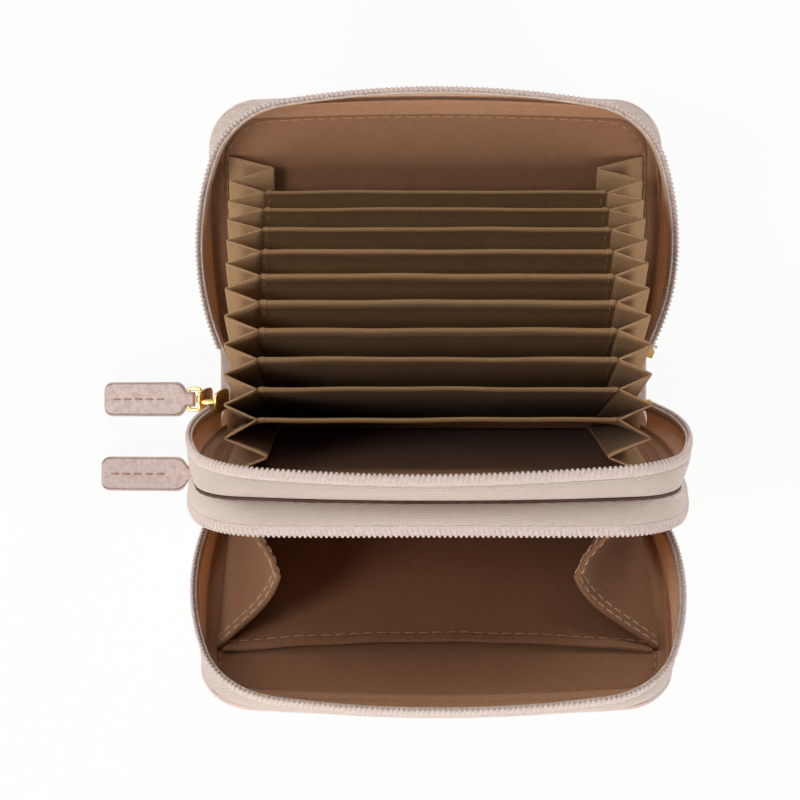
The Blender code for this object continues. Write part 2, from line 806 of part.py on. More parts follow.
def build():
    """Make the whole wallet."""
    leather = material("blush_leather", BLUSH, 0.55, 0)
    tape_pink = material("zip_tape", TAPE_PINK, 0.85, 0)
    coil_pink = material("zip_coil", COIL_PINK, 0.4, 0)
    tan = material("tan_lining", TAN, 0.8, 0)
    pale_tan = material("divider_cloth", PALE_TAN, 0.8, 0)
    grey = material("stiffener_board", GREY, 0.9, 0)
    gold = material("gold_metal", GOLD, 0.3, 1)

    spine(leather, tan)
    card_hinge = empty_at("card_cover_fold", (0, COMPARTMENT, FOLD_HEIGHT), (-CARD_COVER_LEAN, 0, 0))
    coin_hinge = empty_at("coin_cover_fold", (0, -COMPARTMENT, FOLD_HEIGHT), (COIN_COVER_LEAN, 0, 0))
    wall_hinge = empty_at("wall_fold", (0, 0, WALL_HEIGHT), (WALL_LEAN, 0, 0))
    card_cover = Panel(card_hinge, COMPARTMENT, FOLD_HEIGHT, CARD_COVER_LEAN, -1, COVER_FACE)
    coin_cover = Panel(coin_hinge, -COMPARTMENT, FOLD_HEIGHT, -COIN_COVER_LEAN, 1, COVER_FACE)
    card_wall = Panel(wall_hinge, 0, WALL_HEIGHT, -WALL_LEAN, 1, WALL_FACE)
    coin_wall = Panel(wall_hinge, 0, WALL_HEIGHT, -WALL_LEAN, -1, WALL_FACE)

    for name, panel in (("card_cover", card_cover), ("coin_cover", coin_cover)):
        plate(name + "_leather", panel, EDGE, FOLD_ROOM, 0, LEATHER, leather, LEATHER_ROUND)
        board_depth = LEATHER / 2 + CLEAR + BOARD / 2
        plate(name + "_board", panel, inset(EDGE, BOARD_INSET), LINING_FOOT, board_depth, BOARD, grey)
    plate("wall_board", card_wall, inset(EDGE, BOARD_INSET), LINING_FOOT, 0, BOARD, grey)
    panels = {
        "card_cover": card_cover,
        "coin_cover": coin_cover,
        "card_wall": card_wall,
        "coin_wall": coin_wall,
    }
    for name, panel in panels.items():
        lining(name + "_lining", panel, tan)
        tape(name + "_tape", panel, tape_pink)
        coil(name + "_coil", panel, coil_pink)
        stop(name + "_stop", panel, gold)

    dividers(pale_tan)
    for side in SIDES:
        accordion_gusset(side, card_wall, card_cover, tan)
        coin_gusset(side, coin_wall, coin_cover, tan)
    slip_pocket(coin_cover, tan)
    for name, inward in (("card", 1), ("coin", -1)):
        track, bar_x = slider(name + "_slider", card_wall, inward, gold)
        pull(name + "_pull", track, bar_x, leather, gold)


clear_scene()
WALLET = make_collection("zip_wallet", True)
HELPERS = make_collection("cutters", False)
build()
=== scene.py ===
"""Looks of the zip wallet: leather skin, woven tapes, spiral coils, linings, accordion and pulls.

Each sub-assembly is a class that builds its pieces in the open wallet's own frame: +X along the
spine, +Y towards the card side, +Z up. All sizes are in metres.
"""

import logging
import math
from collections.abc import Callable, Iterable, Sequence
from dataclasses import dataclass
from enum import Enum
from typing import NamedTuple

import bpy
import numpy as np
from mathutils import Matrix, Vector


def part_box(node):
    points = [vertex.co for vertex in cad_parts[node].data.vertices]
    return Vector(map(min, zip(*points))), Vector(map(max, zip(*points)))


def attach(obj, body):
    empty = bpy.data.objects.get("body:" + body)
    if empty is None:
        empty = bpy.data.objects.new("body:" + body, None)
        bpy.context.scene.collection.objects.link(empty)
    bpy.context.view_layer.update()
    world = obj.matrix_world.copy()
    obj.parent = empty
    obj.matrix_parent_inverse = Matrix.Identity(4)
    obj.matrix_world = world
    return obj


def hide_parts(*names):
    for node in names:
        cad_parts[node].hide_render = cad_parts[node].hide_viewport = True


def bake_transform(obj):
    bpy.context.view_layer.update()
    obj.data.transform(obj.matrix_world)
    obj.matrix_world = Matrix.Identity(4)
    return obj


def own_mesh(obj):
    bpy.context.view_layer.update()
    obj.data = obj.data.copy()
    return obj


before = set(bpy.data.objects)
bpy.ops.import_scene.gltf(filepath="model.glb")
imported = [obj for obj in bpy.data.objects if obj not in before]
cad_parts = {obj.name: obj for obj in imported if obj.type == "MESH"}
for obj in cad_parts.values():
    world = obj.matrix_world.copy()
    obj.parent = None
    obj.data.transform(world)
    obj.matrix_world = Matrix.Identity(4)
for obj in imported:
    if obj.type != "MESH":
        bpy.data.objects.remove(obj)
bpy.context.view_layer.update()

log = logging.getLogger("zip_wallet")

Array = np.ndarray
Colour = tuple[float, float, float, float]
Place = Callable[[Array], Array]
CLOTH_MAP = "cloth"

# Leather, lining and how the panels stand on the spine
LEATHER = 0.0016
LINING = 0.0005
COMPARTMENT = 0.021
FOLD_HEIGHT = LEATHER / 2
WALL_HEIGHT = 0.0027
COVER_FACE = 0.0027
WALL_FACE = 0.0012
CARD_LEAN = math.radians(65.4)
COIN_LEAN = math.radians(41.5)
WALL_LEAN = math.radians(12.1)
FIRST_LEAN = math.radians(1.2)
LEAN_STEP = math.radians(6.35)


class Side(Enum):
    """The two ends of the wallet."""

    LEFT = -1
    RIGHT = 1


class Facing(Enum):
    """Which way the inside of a panel faces along Y."""

    CARD = 1
    COIN = -1


# ---------------------------------------------------------------- finishes


class NodeSketch:
    """A node tree, built up one node at a time."""

    def __init__(self, tree: bpy.types.NodeTree) -> None:
        """Start on a tree."""
        self.tree = tree

    def add(self, kind: str, inputs: dict | None = None, **settings: object) -> bpy.types.Node:
        """Add a node of a kind, set its attributes, and feed values or sockets to its inputs."""
        node = self.tree.nodes.new("ShaderNode" + kind)
        for key, value in settings.items():
            setattr(node, key, value)
        for key, value in (inputs or {}).items():
            self.feed(node.inputs[key], value)
        return node

    def feed(self, socket: bpy.types.NodeSocket, value: object) -> None:
        """Link a socket to another, or set its value."""
        if isinstance(value, bpy.types.NodeSocket):
            self.tree.links.new(value, socket)
        else:
            socket.default_value = value

    def maths(self, operation: str, *values: object) -> bpy.types.NodeSocket:
        """Return the result of a Math node on these values."""
        return self.add("Math", dict(enumerate(values)), operation=operation).outputs[0]

    def finish(self, output: str, share: object, first: bpy.types.Node, second: bpy.types.Node) -> None:
        """Feed the output node a mix of two shaders."""
        mixed = self.add("MixShader", {0: share, 1: first.outputs[0], 2: second.outputs[0]})
        self.feed(self.tree.nodes[output].inputs["Surface"], mixed.outputs[0])


class ShaderSketch(NodeSketch):
    """A Principled material's nodes."""

    def __init__(self, name: str) -> None:
        """Start a material of this name."""
        self.material = bpy.data.materials.new(name)
        self.material.use_nodes = True
        super().__init__(self.material.node_tree)
        self.shader = self.tree.nodes["Principled BSDF"]

    def set(self, **values: object) -> None:
        """Feed the shader's own inputs, with _ for a space."""
        for key, value in values.items():
            self.feed(self.shader.inputs[key.replace("_", " ")], value)

    def mix(self, share: object, first: object, second: object) -> bpy.types.NodeSocket:
        """Return a colour between two others."""
        return self.add("Mix", {0: share, 6: first, 7: second}, data_type="RGBA").outputs[2]

    def span(
        self, value: object, low: float, high: float, start: float = 0.0, end: float = 1.0
    ) -> bpy.types.NodeSocket:
        """Return a value carried from the range low to high into the range start to end."""
        names = {"Value": value, "From Min": low, "From Max": high, "To Min": start, "To Max": end}
        return self.add("MapRange", names).outputs[0]

    def noise(self, where: object, size: float, detail: float = 2, rough: float = 0.5) -> bpy.types.NodeSocket:
        """Return soft random values whose patches have about this size."""
        names = {"Vector": where, "Scale": 1 / size, "Detail": detail, "Roughness": rough}
        return self.add("TexNoise", names).outputs[0]

    def ribs(self, where: object, pitch: float, way: str, waver: float) -> bpy.types.NodeSocket:
        """Return 0 to 1 waves of a pitch, across X or diagonal."""
        scale = 2 * math.pi / (10 if way == "DIAGONAL" else 20) / pitch
        names = {"Vector": where, "Scale": scale, "Distortion": waver, "Detail": 1.0, "Detail Scale": 1.0}
        return self.add("TexWave", names, bands_direction=way, wave_profile="SIN").outputs["Fac"]

    def bump(self, height: object, depth: float) -> bpy.types.NodeSocket:
        """Return a normal for a height that spans this depth."""
        return self.add("Bump", {"Height": height, "Distance": depth, "Strength": 1.0}).outputs[0]

    def solid(self) -> bpy.types.NodeSocket:
        """Return the piece's own coordinates."""
        return self.add("TexCoord").outputs["Object"]

    def cloth(self) -> bpy.types.NodeSocket:
        """Return the coordinates that run with a sheet's threads, in metres."""
        return self.add("UVMap", uv_map=CLOTH_MAP).outputs[0]


def tone(red: float, green: float, blue: float) -> Colour:
    """Return a colour in linear light from one in 0 to 255 display values."""
    shares = [value / 255 for value in (red, green, blue)]
    return (*(s / 12.92 if s <= 0.04045 else ((s + 0.055) / 1.055) ** 2.4 for s in shares), 1.0)


def shade(colour: Colour, by: float) -> Colour:
    """Return a colour made darker, or paler up to white."""
    return (*(min(1.0, channel * by) for channel in colour[:3]), 1.0)


# How cloth lets light through: some red further than blue, within about its own thickness
GLOW = {"Subsurface_Radius": (1.0, 0.9, 0.8), "Subsurface_Scale": 0.0016}


@dataclass(frozen=True)
class Finish:
    """A surface: its name, its main colour, and how its shader is sketched."""

    name: str
    colour: Colour

    def make(self) -> bpy.types.Material:
        """Return the material."""
        sketch = ShaderSketch(self.name)
        self.draw(sketch)
        return sketch.material

    def draw(self, sketch: ShaderSketch) -> None:
        """Set the shader's inputs."""
        raise NotImplementedError


@dataclass(frozen=True)
class PebbledLeather(Finish):
    """Leather whose grain is small rounded pebbles between fine creases, with painted shade in the creases."""

    # the crease colour is painted shade: it darkens the low creases between the pebbles
    crease: Colour
    pebble: float = 0.0013
    depth: float = 0.00016
    wander: float = 0.0009

    def draw(self, sketch: ShaderSketch) -> None:
        """Set the shader's inputs."""
        where = sketch.solid()
        wobble = sketch.add("TexNoise", {"Vector": where, "Scale": 700.0, "Detail": 1.0}).outputs["Color"]
        moved = sketch.add("VectorMath", {0: wobble, "Scale": self.wander}, operation="SCALE").outputs[0]
        bent = sketch.add("VectorMath", {0: where, 1: moved}, operation="ADD").outputs[0]
        names = {"Vector": bent, "Scale": 1 / self.pebble, "Smoothness": 0.55, "Randomness": 0.95}
        cells = sketch.add("TexVoronoi", names, feature="SMOOTH_F1").outputs["Distance"]
        rounded = sketch.span(cells, 0.85, 0.2)
        height = sketch.maths("ADD", rounded, sketch.maths("MULTIPLY", sketch.noise(where, 0.0003, 3), 0.22))
        patches = sketch.span(sketch.noise(where, 0.009, 3), 0.35, 0.68)
        face = sketch.mix(patches, self.colour, shade(self.colour, 0.88))
        # base colour: painted shade, the crease colour laid in the low creases between pebbles
        sketch.set(
            Base_Color=sketch.mix(sketch.span(rounded, 0.1, 0.6), self.crease, face),
            Roughness=sketch.span(rounded, 0.0, 1.0, 0.66, 0.5),
            Specular_IOR_Level=0.45,
            Normal=sketch.bump(height, self.depth),
        )


@dataclass(frozen=True)
class CutEdge(Finish):
    """A cut leather edge: a sealed, slightly fibrous band."""

    def draw(self, sketch: ShaderSketch) -> None:
        """Set the shader's inputs."""
        where = sketch.solid()
        fibres = sketch.noise(where, 0.0004, 4, 0.7)
        worn = sketch.span(sketch.noise(where, 0.006), 0.35, 0.7)
        sketch.set(
            Base_Color=sketch.mix(worn, self.colour, shade(self.colour, 1.18)),
            Roughness=sketch.span(fibres, 0.3, 0.7, 0.5, 0.75),
            Normal=sketch.bump(fibres, 0.00008),
        )


@dataclass(frozen=True)
class TwillCloth(Finish):
    """Fine twill: diagonal ribs of shiny thread, with crossing threads between, painted shade in the low grooves and
    darker tone at random.
    """

    # the groove colour is painted shade in the weave's low grooves, and also the darker tone of random clouds and
    # threads
    groove_shade_and_tone: Colour
    through: float = 0.0
    pitch: float = 0.00055

    def draw(self, sketch: ShaderSketch) -> None:
        """Set the shader's inputs."""
        where = sketch.cloth()
        ribs = sketch.ribs(where, self.pitch, "DIAGONAL", 0.6)
        threads = sketch.ribs(where, self.pitch * 0.8, "X", 0.4)
        weave = sketch.maths("MULTIPLY", sketch.span(threads, 0.0, 1.0, 0.55), ribs)
        slubs = sketch.span(sketch.noise(where, 0.004, 3), 0.35, 0.65)
        cloud = sketch.span(sketch.noise(where, 0.03), 0.4, 0.75, end=0.14)
        long = sketch.add("VectorMath", {0: where, 1: (0.45, 1.3, 1.0)}, operation="MULTIPLY").outputs[0]
        grain = sketch.span(sketch.noise(long, 0.0007, 2, 0.65), 0.34, 0.66, end=0.30)
        raised = sketch.mix(slubs, self.colour, shade(self.colour, 0.93))
        # painted shade: the groove colour fills the low parts of the weave
        colour = sketch.mix(sketch.span(weave, 0.05, 0.75), self.groove_shade_and_tone, raised)
        colour = sketch.mix(cloud, colour, self.groove_shade_and_tone)
        sketch.set(
            Base_Color=sketch.mix(grain, colour, shade(self.groove_shade_and_tone, 0.72)),
            Roughness=sketch.span(weave, 0.0, 1.0, 0.85, 0.62),
            Specular_IOR_Level=0.16,
            Sheen_Weight=0.06,
            Sheen_Roughness=0.45,
            Subsurface_Weight=self.through,
            Normal=sketch.bump(weave, 0.00006),
            **GLOW,
        )


@dataclass(frozen=True)
class WovenTape(Finish):
    """Zip tape: a tight band of ribs that slant one way and then the other, with painted shade in the gaps between
    them.
    """

    # the gap colour is painted shade in the low gaps of the weave
    gap: Colour
    through: float = 0.35
    pitch: float = 0.00062
    chevron: float = 0.0022

    def draw(self, sketch: ShaderSketch) -> None:
        """Set the shader's inputs."""
        where = sketch.cloth()
        along, across = sketch.add("SeparateXYZ", {0: where}).outputs[:2]

        def wave(value: object, pitch: float, share: float) -> bpy.types.NodeSocket:
            """Return a sine wave of this pitch, at a share of its full height."""
            sine = sketch.maths("SINE", sketch.maths("MULTIPLY", value, 2 * math.pi / pitch))
            return sketch.maths("MULTIPLY", sine, share)

        slanted = sketch.maths("ADD", along, sketch.maths("PINGPONG", across, self.chevron))
        knit = sketch.maths("ADD", wave(slanted, self.pitch, 0.5), wave(across, self.pitch * 0.7, 0.3))
        height = sketch.maths("ADD", knit, sketch.maths("MULTIPLY", sketch.noise(where, 0.0003), 0.5))
        # base colour: painted shade, the gap colour where the weave is low
        sketch.set(
            Base_Color=sketch.mix(sketch.span(height, -0.5, 0.7), self.gap, self.colour),
            Roughness=0.8,
            Specular_IOR_Level=0.2,
            Sheen_Weight=0.08,
            Sheen_Roughness=0.5,
            Subsurface_Weight=self.through,
            Normal=sketch.bump(height, 0.00012),
            **GLOW,
        )


@dataclass(frozen=True)
class Filament(Finish):
    """Thread, nylon or board: plain fibres, with a faint change of tone."""

    roughness: float = 0.55
    twist: float = 0.0005
    dark: float = 0.82
    detail: tuple[float, float] = (2, 0.5)
    depth: float = 0.00003

    def draw(self, sketch: ShaderSketch) -> None:
        """Set the shader's inputs."""
        strands = sketch.noise(sketch.solid(), self.twist, *self.detail)
        sketch.set(
            Base_Color=sketch.mix(sketch.span(strands, 0.3, 0.7), shade(self.colour, self.dark), self.colour),
            Roughness=self.roughness,
            Normal=sketch.bump(strands, self.depth),
        )


@dataclass(frozen=True)
class PlatedMetal(Finish):
    """Plated zinc: bright metal with fine polishing marks."""

    def draw(self, sketch: ShaderSketch) -> None:
        """Set the shader's inputs."""
        where = sketch.solid()
        marks = sketch.noise(where, 0.0002, 4, 0.7)
        worn = sketch.span(sketch.noise(where, 0.002), 0.4, 0.7, end=0.6)
        sketch.set(
            Base_Color=sketch.mix(worn, self.colour, shade(self.colour, 0.8)),
            Metallic=1.0,
            Roughness=sketch.span(marks, 0.3, 0.7, 0.18, 0.34),
            Normal=sketch.bump(marks, 0.00001),
        )


class Finishes:
    """Every material of the wallet."""

    def __init__(self) -> None:
        """Make each material once."""
        self.leather = PebbledLeather("blush_leather", tone(210, 188, 181), tone(194, 169, 162)).make()
        self.edge = CutEdge("leather_edge", tone(206, 183, 172)).make()
        self.tape = WovenTape("zip_tape", tone(236, 217, 206), tone(190, 168, 155)).make()
        # painted light: the tape's inside is a paler, warmer copy of the same tape, standing in for warm light from the
        # lining and light let through the tape
        self.tape_inside_painted_light = WovenTape("zip_tape_inside_painted_lighter", tone(244, 208, 182), tone(192, 142, 108), 0.7).make()
        self.coil = Filament("zip_coil", tone(216, 197, 188), 0.42, 0.0012).make()
        self.lining = TwillCloth("tan_lining", tone(171, 125, 92), tone(133, 93, 67)).make()
        # painted light: the folded strip is the lining's cloth made paler, standing in for light that reaches the rim's
        # inside
        self.strip = TwillCloth("strip_cloth_painted_lighter", tone(208, 161, 125), tone(166, 121, 90), 0.6).make()
        # painted light: the pleats are the tan cloth made paler than on the dividers and linings, standing in for the
        # light on their faces
        self.pleat = TwillCloth("pleat_cloth_painted_lighter", tone(202, 162, 121), tone(158, 123, 88)).make()
        self.divider = TwillCloth("divider_cloth", tone(171, 134, 93), tone(130, 97, 63)).make()
        self.thread = Filament("lining_thread", tone(182, 138, 104)).make()
        # painted highlight: the gussets' hem stitches are a paler copy of the lining thread
        self.hem = Filament("hem_thread_painted_highlight", tone(216, 186, 154)).make()
        self.seam = Filament("leather_thread", tone(172, 128, 108)).make()
        # painted light: the coil's core is paler than the coil's nylon, lightening the shade between the teeth
        self.cord_painted_light = Filament("coil_cord_painted_lighter", tone(224, 203, 194), 0.7, 0.0006).make()
        # painted shade: a dark cord laid in the gap between the wall's two tapes
        self.gap_shade = Filament("wall_gap_painted_shade", tone(84, 52, 40), 0.8, 0.0008).make()
        self.gold = PlatedMetal("gold_metal", tone(232, 190, 120)).make()
        grey = tone(160, 156, 150)
        self.board = Filament("stiffener_board", grey, 0.92, 0.0006, 0.7, (5, 0.7), 0.00006).make()


# ---------------------------------------------------------------- shape tools


def unit(vectors: Array) -> Array:
    """Return vectors of length 1."""
    return vectors / np.maximum(np.linalg.norm(vectors, axis=-1, keepdims=True), 1e-12)


def smooth(share: Array) -> Array:
    """Return a share from 0 to 1 with a gentle start and end."""
    t = np.clip(share, 0, 1)
    return t * t * (3 - 2 * t)


def curve(start: Array, bend: Array, end: Array, steps: int) -> list[Array]:
    """Return the points after the start of a curve that turns from one point to another, drawn to a third."""
    shares = (step / steps for step in range(1, steps + 1))
    return [start * (1 - t) ** 2 + bend * 2 * t * (1 - t) + end * t * t for t in shares]


def soften(controls: Sequence[Array], share: float, steps: int, between: int = 1) -> Array:
    """Round the corners of a line through control rows.

    Args:
        controls: The rows of points that the line goes through.
        share: How much of each leg a rounded corner takes, up to 0.5.
        steps: Points in each rounded corner.
        between: Points in each straight leg.

    Returns:
        The rounded line, one row for each of its points.
    """
    rows = [np.asarray(row, float) for row in controls]
    found = [rows[0]]
    for index in range(1, len(rows)):
        last = index == len(rows) - 1
        start = found[-1]
        end = rows[index] + (rows[index - 1] - rows[index]) * (0 if last else share)
        found += [start + (end - start) * step / between for step in range(1, between + 1)]
        if not last:
            found += curve(end, rows[index], rows[index] + (rows[index + 1] - rows[index]) * share, steps)
    return np.array(found)


def arc_points(centre: Sequence[float], radius: float, start: float, end: float, steps: int) -> Array:
    """Return an arc's points, both ends included."""
    angles = np.linspace(start, end, steps + 1)
    return np.stack((centre[0] + radius * np.cos(angles), centre[1] + radius * np.sin(angles)), 1)


def reaches(line: Array) -> Array:
    """Return how far along a line each of its points lies."""
    return np.concatenate(([0.0], np.cumsum(np.linalg.norm(np.diff(line, axis=0), axis=1))))


def length_of(line: Array) -> float:
    """Return a line's length."""
    return float(reaches(line)[-1])


def spaced(rows: Array, distances: Array, line: Array | None = None) -> Array:
    """Return rows of values at these distances along a line, which the rows are themselves if none is given."""
    reach = reaches(rows if line is None else line)
    return np.stack([np.interp(distances, reach, column) for column in rows.T], 1)


def both_ways(rings: list[tuple[float, float]]) -> list[tuple[float, float]]:
    """Return (inset, lift) rings over an edge, followed by the same ones under it."""
    return rings + [(inset, -lift) for inset, lift in reversed(rings)]


@dataclass(frozen=True)
class Outline:
    """A panel's outline, seen square on: three arcs a side, with heights above the fold line."""

    half: float
    side_radius: float
    side_height: float
    top: float
    top_radius: float
    corner: float

    def inset(self, by: float) -> "Outline":
        """Return the outline that runs inside this one at an even distance."""
        top, corner = self.top - by, self.corner - by
        return Outline(
            self.half - by, self.side_radius - by, self.side_height, top, self.top_radius - by, corner
        )

    def centres(self) -> tuple[Array, Array, Array]:
        """Return the centres of the side's, the top's and the corner's arcs."""
        side = np.array((self.half - self.side_radius, self.side_height))
        top = np.array((0.0, self.top - self.top_radius))
        reach_side = self.side_radius - self.corner
        reach_top = self.top_radius - self.corner
        apart = float(np.linalg.norm(top - side))
        along = (reach_side**2 - reach_top**2 + apart**2) / (2 * apart)
        across = math.sqrt(reach_side**2 - along**2)
        way = (top - side) / apart
        return side, top, side + way * along + np.array((-way[1], way[0])) * across

    def line(self, foot: float, steps: tuple[int, int, int]) -> Array:
        """Return (x, height) points from the left foot over the top to the right foot.

        Args:
            foot: The height at which both ends stop.
            steps: Points in a side's arc, a corner's and half the top's.

        Returns:
            The points.
        """
        side, top, corner = self.centres()
        low = math.asin((foot - self.side_height) / self.side_radius)
        side_end = math.atan2(*(corner - side)[::-1])
        top_end = math.atan2(*(corner - top)[::-1])
        right = np.concatenate(
            (
                arc_points(side, self.side_radius, low, side_end, steps[0]),
                arc_points(corner, self.corner, side_end, top_end, steps[1])[1:],
                arc_points(top, self.top_radius, top_end, math.pi / 2, steps[2])[1:],
            )
        )
        return np.concatenate((right * (-1, 1), right[-2::-1]))


RIM = Outline(0.0632, 0.080, 0.032, 0.0782, 0.233, 0.024)
WALL_RIM = Outline(0.0634, 0.088, 0.033, 0.0788, 0.233, 0.0226)
CARD_EDGE = Outline(0.0602, 0.450, 0.034, 0.0736, 1.000, 0.0135)
COIN_EDGE = Outline(0.0602, 0.450, 0.034, 0.0722, 0.600, 0.0145)
WALL_EDGE = Outline(0.0618, 0.150, 0.034, 0.0755, 0.300, 0.013)
COIL_BASE = 0.0068
COIL_TOP = 0.0095
FINE = (26, 20, 34)


@dataclass(frozen=True)
class Panel:
    """A leaning panel: its body, fold line, lean, and the rim that stands up from its edge.

    The soft rim doesn't stand quite straight: its free edge flares out, sags at the middle of the
    top, and drifts along X.
    """

    name: str
    body: str
    fold: float
    height: float
    lean: float
    facing: Facing
    face: float
    edge: Outline
    rim: Outline
    flare: float = 0.0
    sag: float = 0.0
    sag_at: float = 0.0
    drift: float = 0.0

    def place(self, flat: Array, depth: Array | float) -> Array:
        """Return where (x, height) points lie in the open wallet, at a depth inside the panel."""
        x, height = flat[..., 0], flat[..., 1]
        depth = depth + np.zeros_like(height)
        high = smooth((height - 0.040) / 0.030) * np.exp(-(((x - self.sag_at) / 0.048) ** 2))
        sunk = depth - self.sag * high * smooth((depth - 0.0008) / 0.0060)
        beside = self.drift * smooth(x / 0.05) * smooth((depth - 0.0010) / 0.0050) * smooth(height / 0.025)
        y, z = self.turn(sunk, height + FOLD_HEIGHT - self.height)
        return np.stack((x + beside, y + self.fold, z + self.height), -1)

    def turn(self, depth: Array | float, up: Array | float) -> tuple[Array, Array]:
        """Return (y, z) from a depth and a height in the panel, both counted from its fold line."""
        inward = self.facing.value * depth
        cos, sin = math.cos(self.lean), math.sin(self.lean)
        return inward * cos + up * sin, -inward * sin + up * cos

    def rim_at(self, depth: float) -> Outline:
        """Return the rim's outline at a depth."""
        return self.rim.inset(self.flare * float(np.clip((COIL_TOP - depth) / (COIL_TOP - COIL_BASE), 0, 1)))

    def way(self, depth: float, up: float) -> Vector:
        """Return a direction in the open wallet from one in the panel."""
        return Vector((0, *self.turn(depth, up)))


# fmt: off
CARD_COVER = Panel("card_cover", "card_cover", COMPARTMENT, FOLD_HEIGHT, CARD_LEAN, Facing.COIN,
                   COVER_FACE, CARD_EDGE, RIM, flare=0.0015, drift=0.0010)
COIN_COVER = Panel("coin_cover", "coin_cover", -COMPARTMENT, FOLD_HEIGHT, -COIN_LEAN, Facing.CARD,
                   COVER_FACE, COIN_EDGE, RIM, flare=0.0006, drift=0.0011)
CARD_WALL = Panel("card_wall", "wall", 0.0, WALL_HEIGHT, -WALL_LEAN, Facing.CARD,
                  WALL_FACE, WALL_EDGE, WALL_RIM, sag=0.0017, sag_at=-0.008, drift=0.0010)
COIN_WALL = Panel("coin_wall", "wall", 0.0, WALL_HEIGHT, -WALL_LEAN, Facing.COIN,
                  WALL_FACE, WALL_EDGE, WALL_RIM, sag=0.0020, drift=0.0006)
# fmt: on
PANELS = (CARD_COVER, COIN_COVER, CARD_WALL, COIN_WALL)


class Stitch(NamedTuple):
    """A row of stitches: a stitch's length, the space between two and the thread's radius."""

    length: float
    gap: float
    radius: float


SKIN_STITCH = Stitch(0.0027, 0.0008, 0.00021)
LINING_STITCH = Stitch(0.0024, 0.0009, 0.00018)
DIVIDER_STITCH = Stitch(0.0018, 0.0010, 0.00014)
GUSSET_STITCH = Stitch(0.0020, 0.0008, 0.00015)
POCKET_STITCH = Stitch(0.0026, 0.0008, 0.00018)
PULL_STITCH = Stitch(0.0023, 0.0007, 0.00022)
# How far a stitch stands up along its length, in thread radii
STITCH_RISE = np.array((-0.9, 0.45, 0.75, 0.75, 0.45, -0.9))


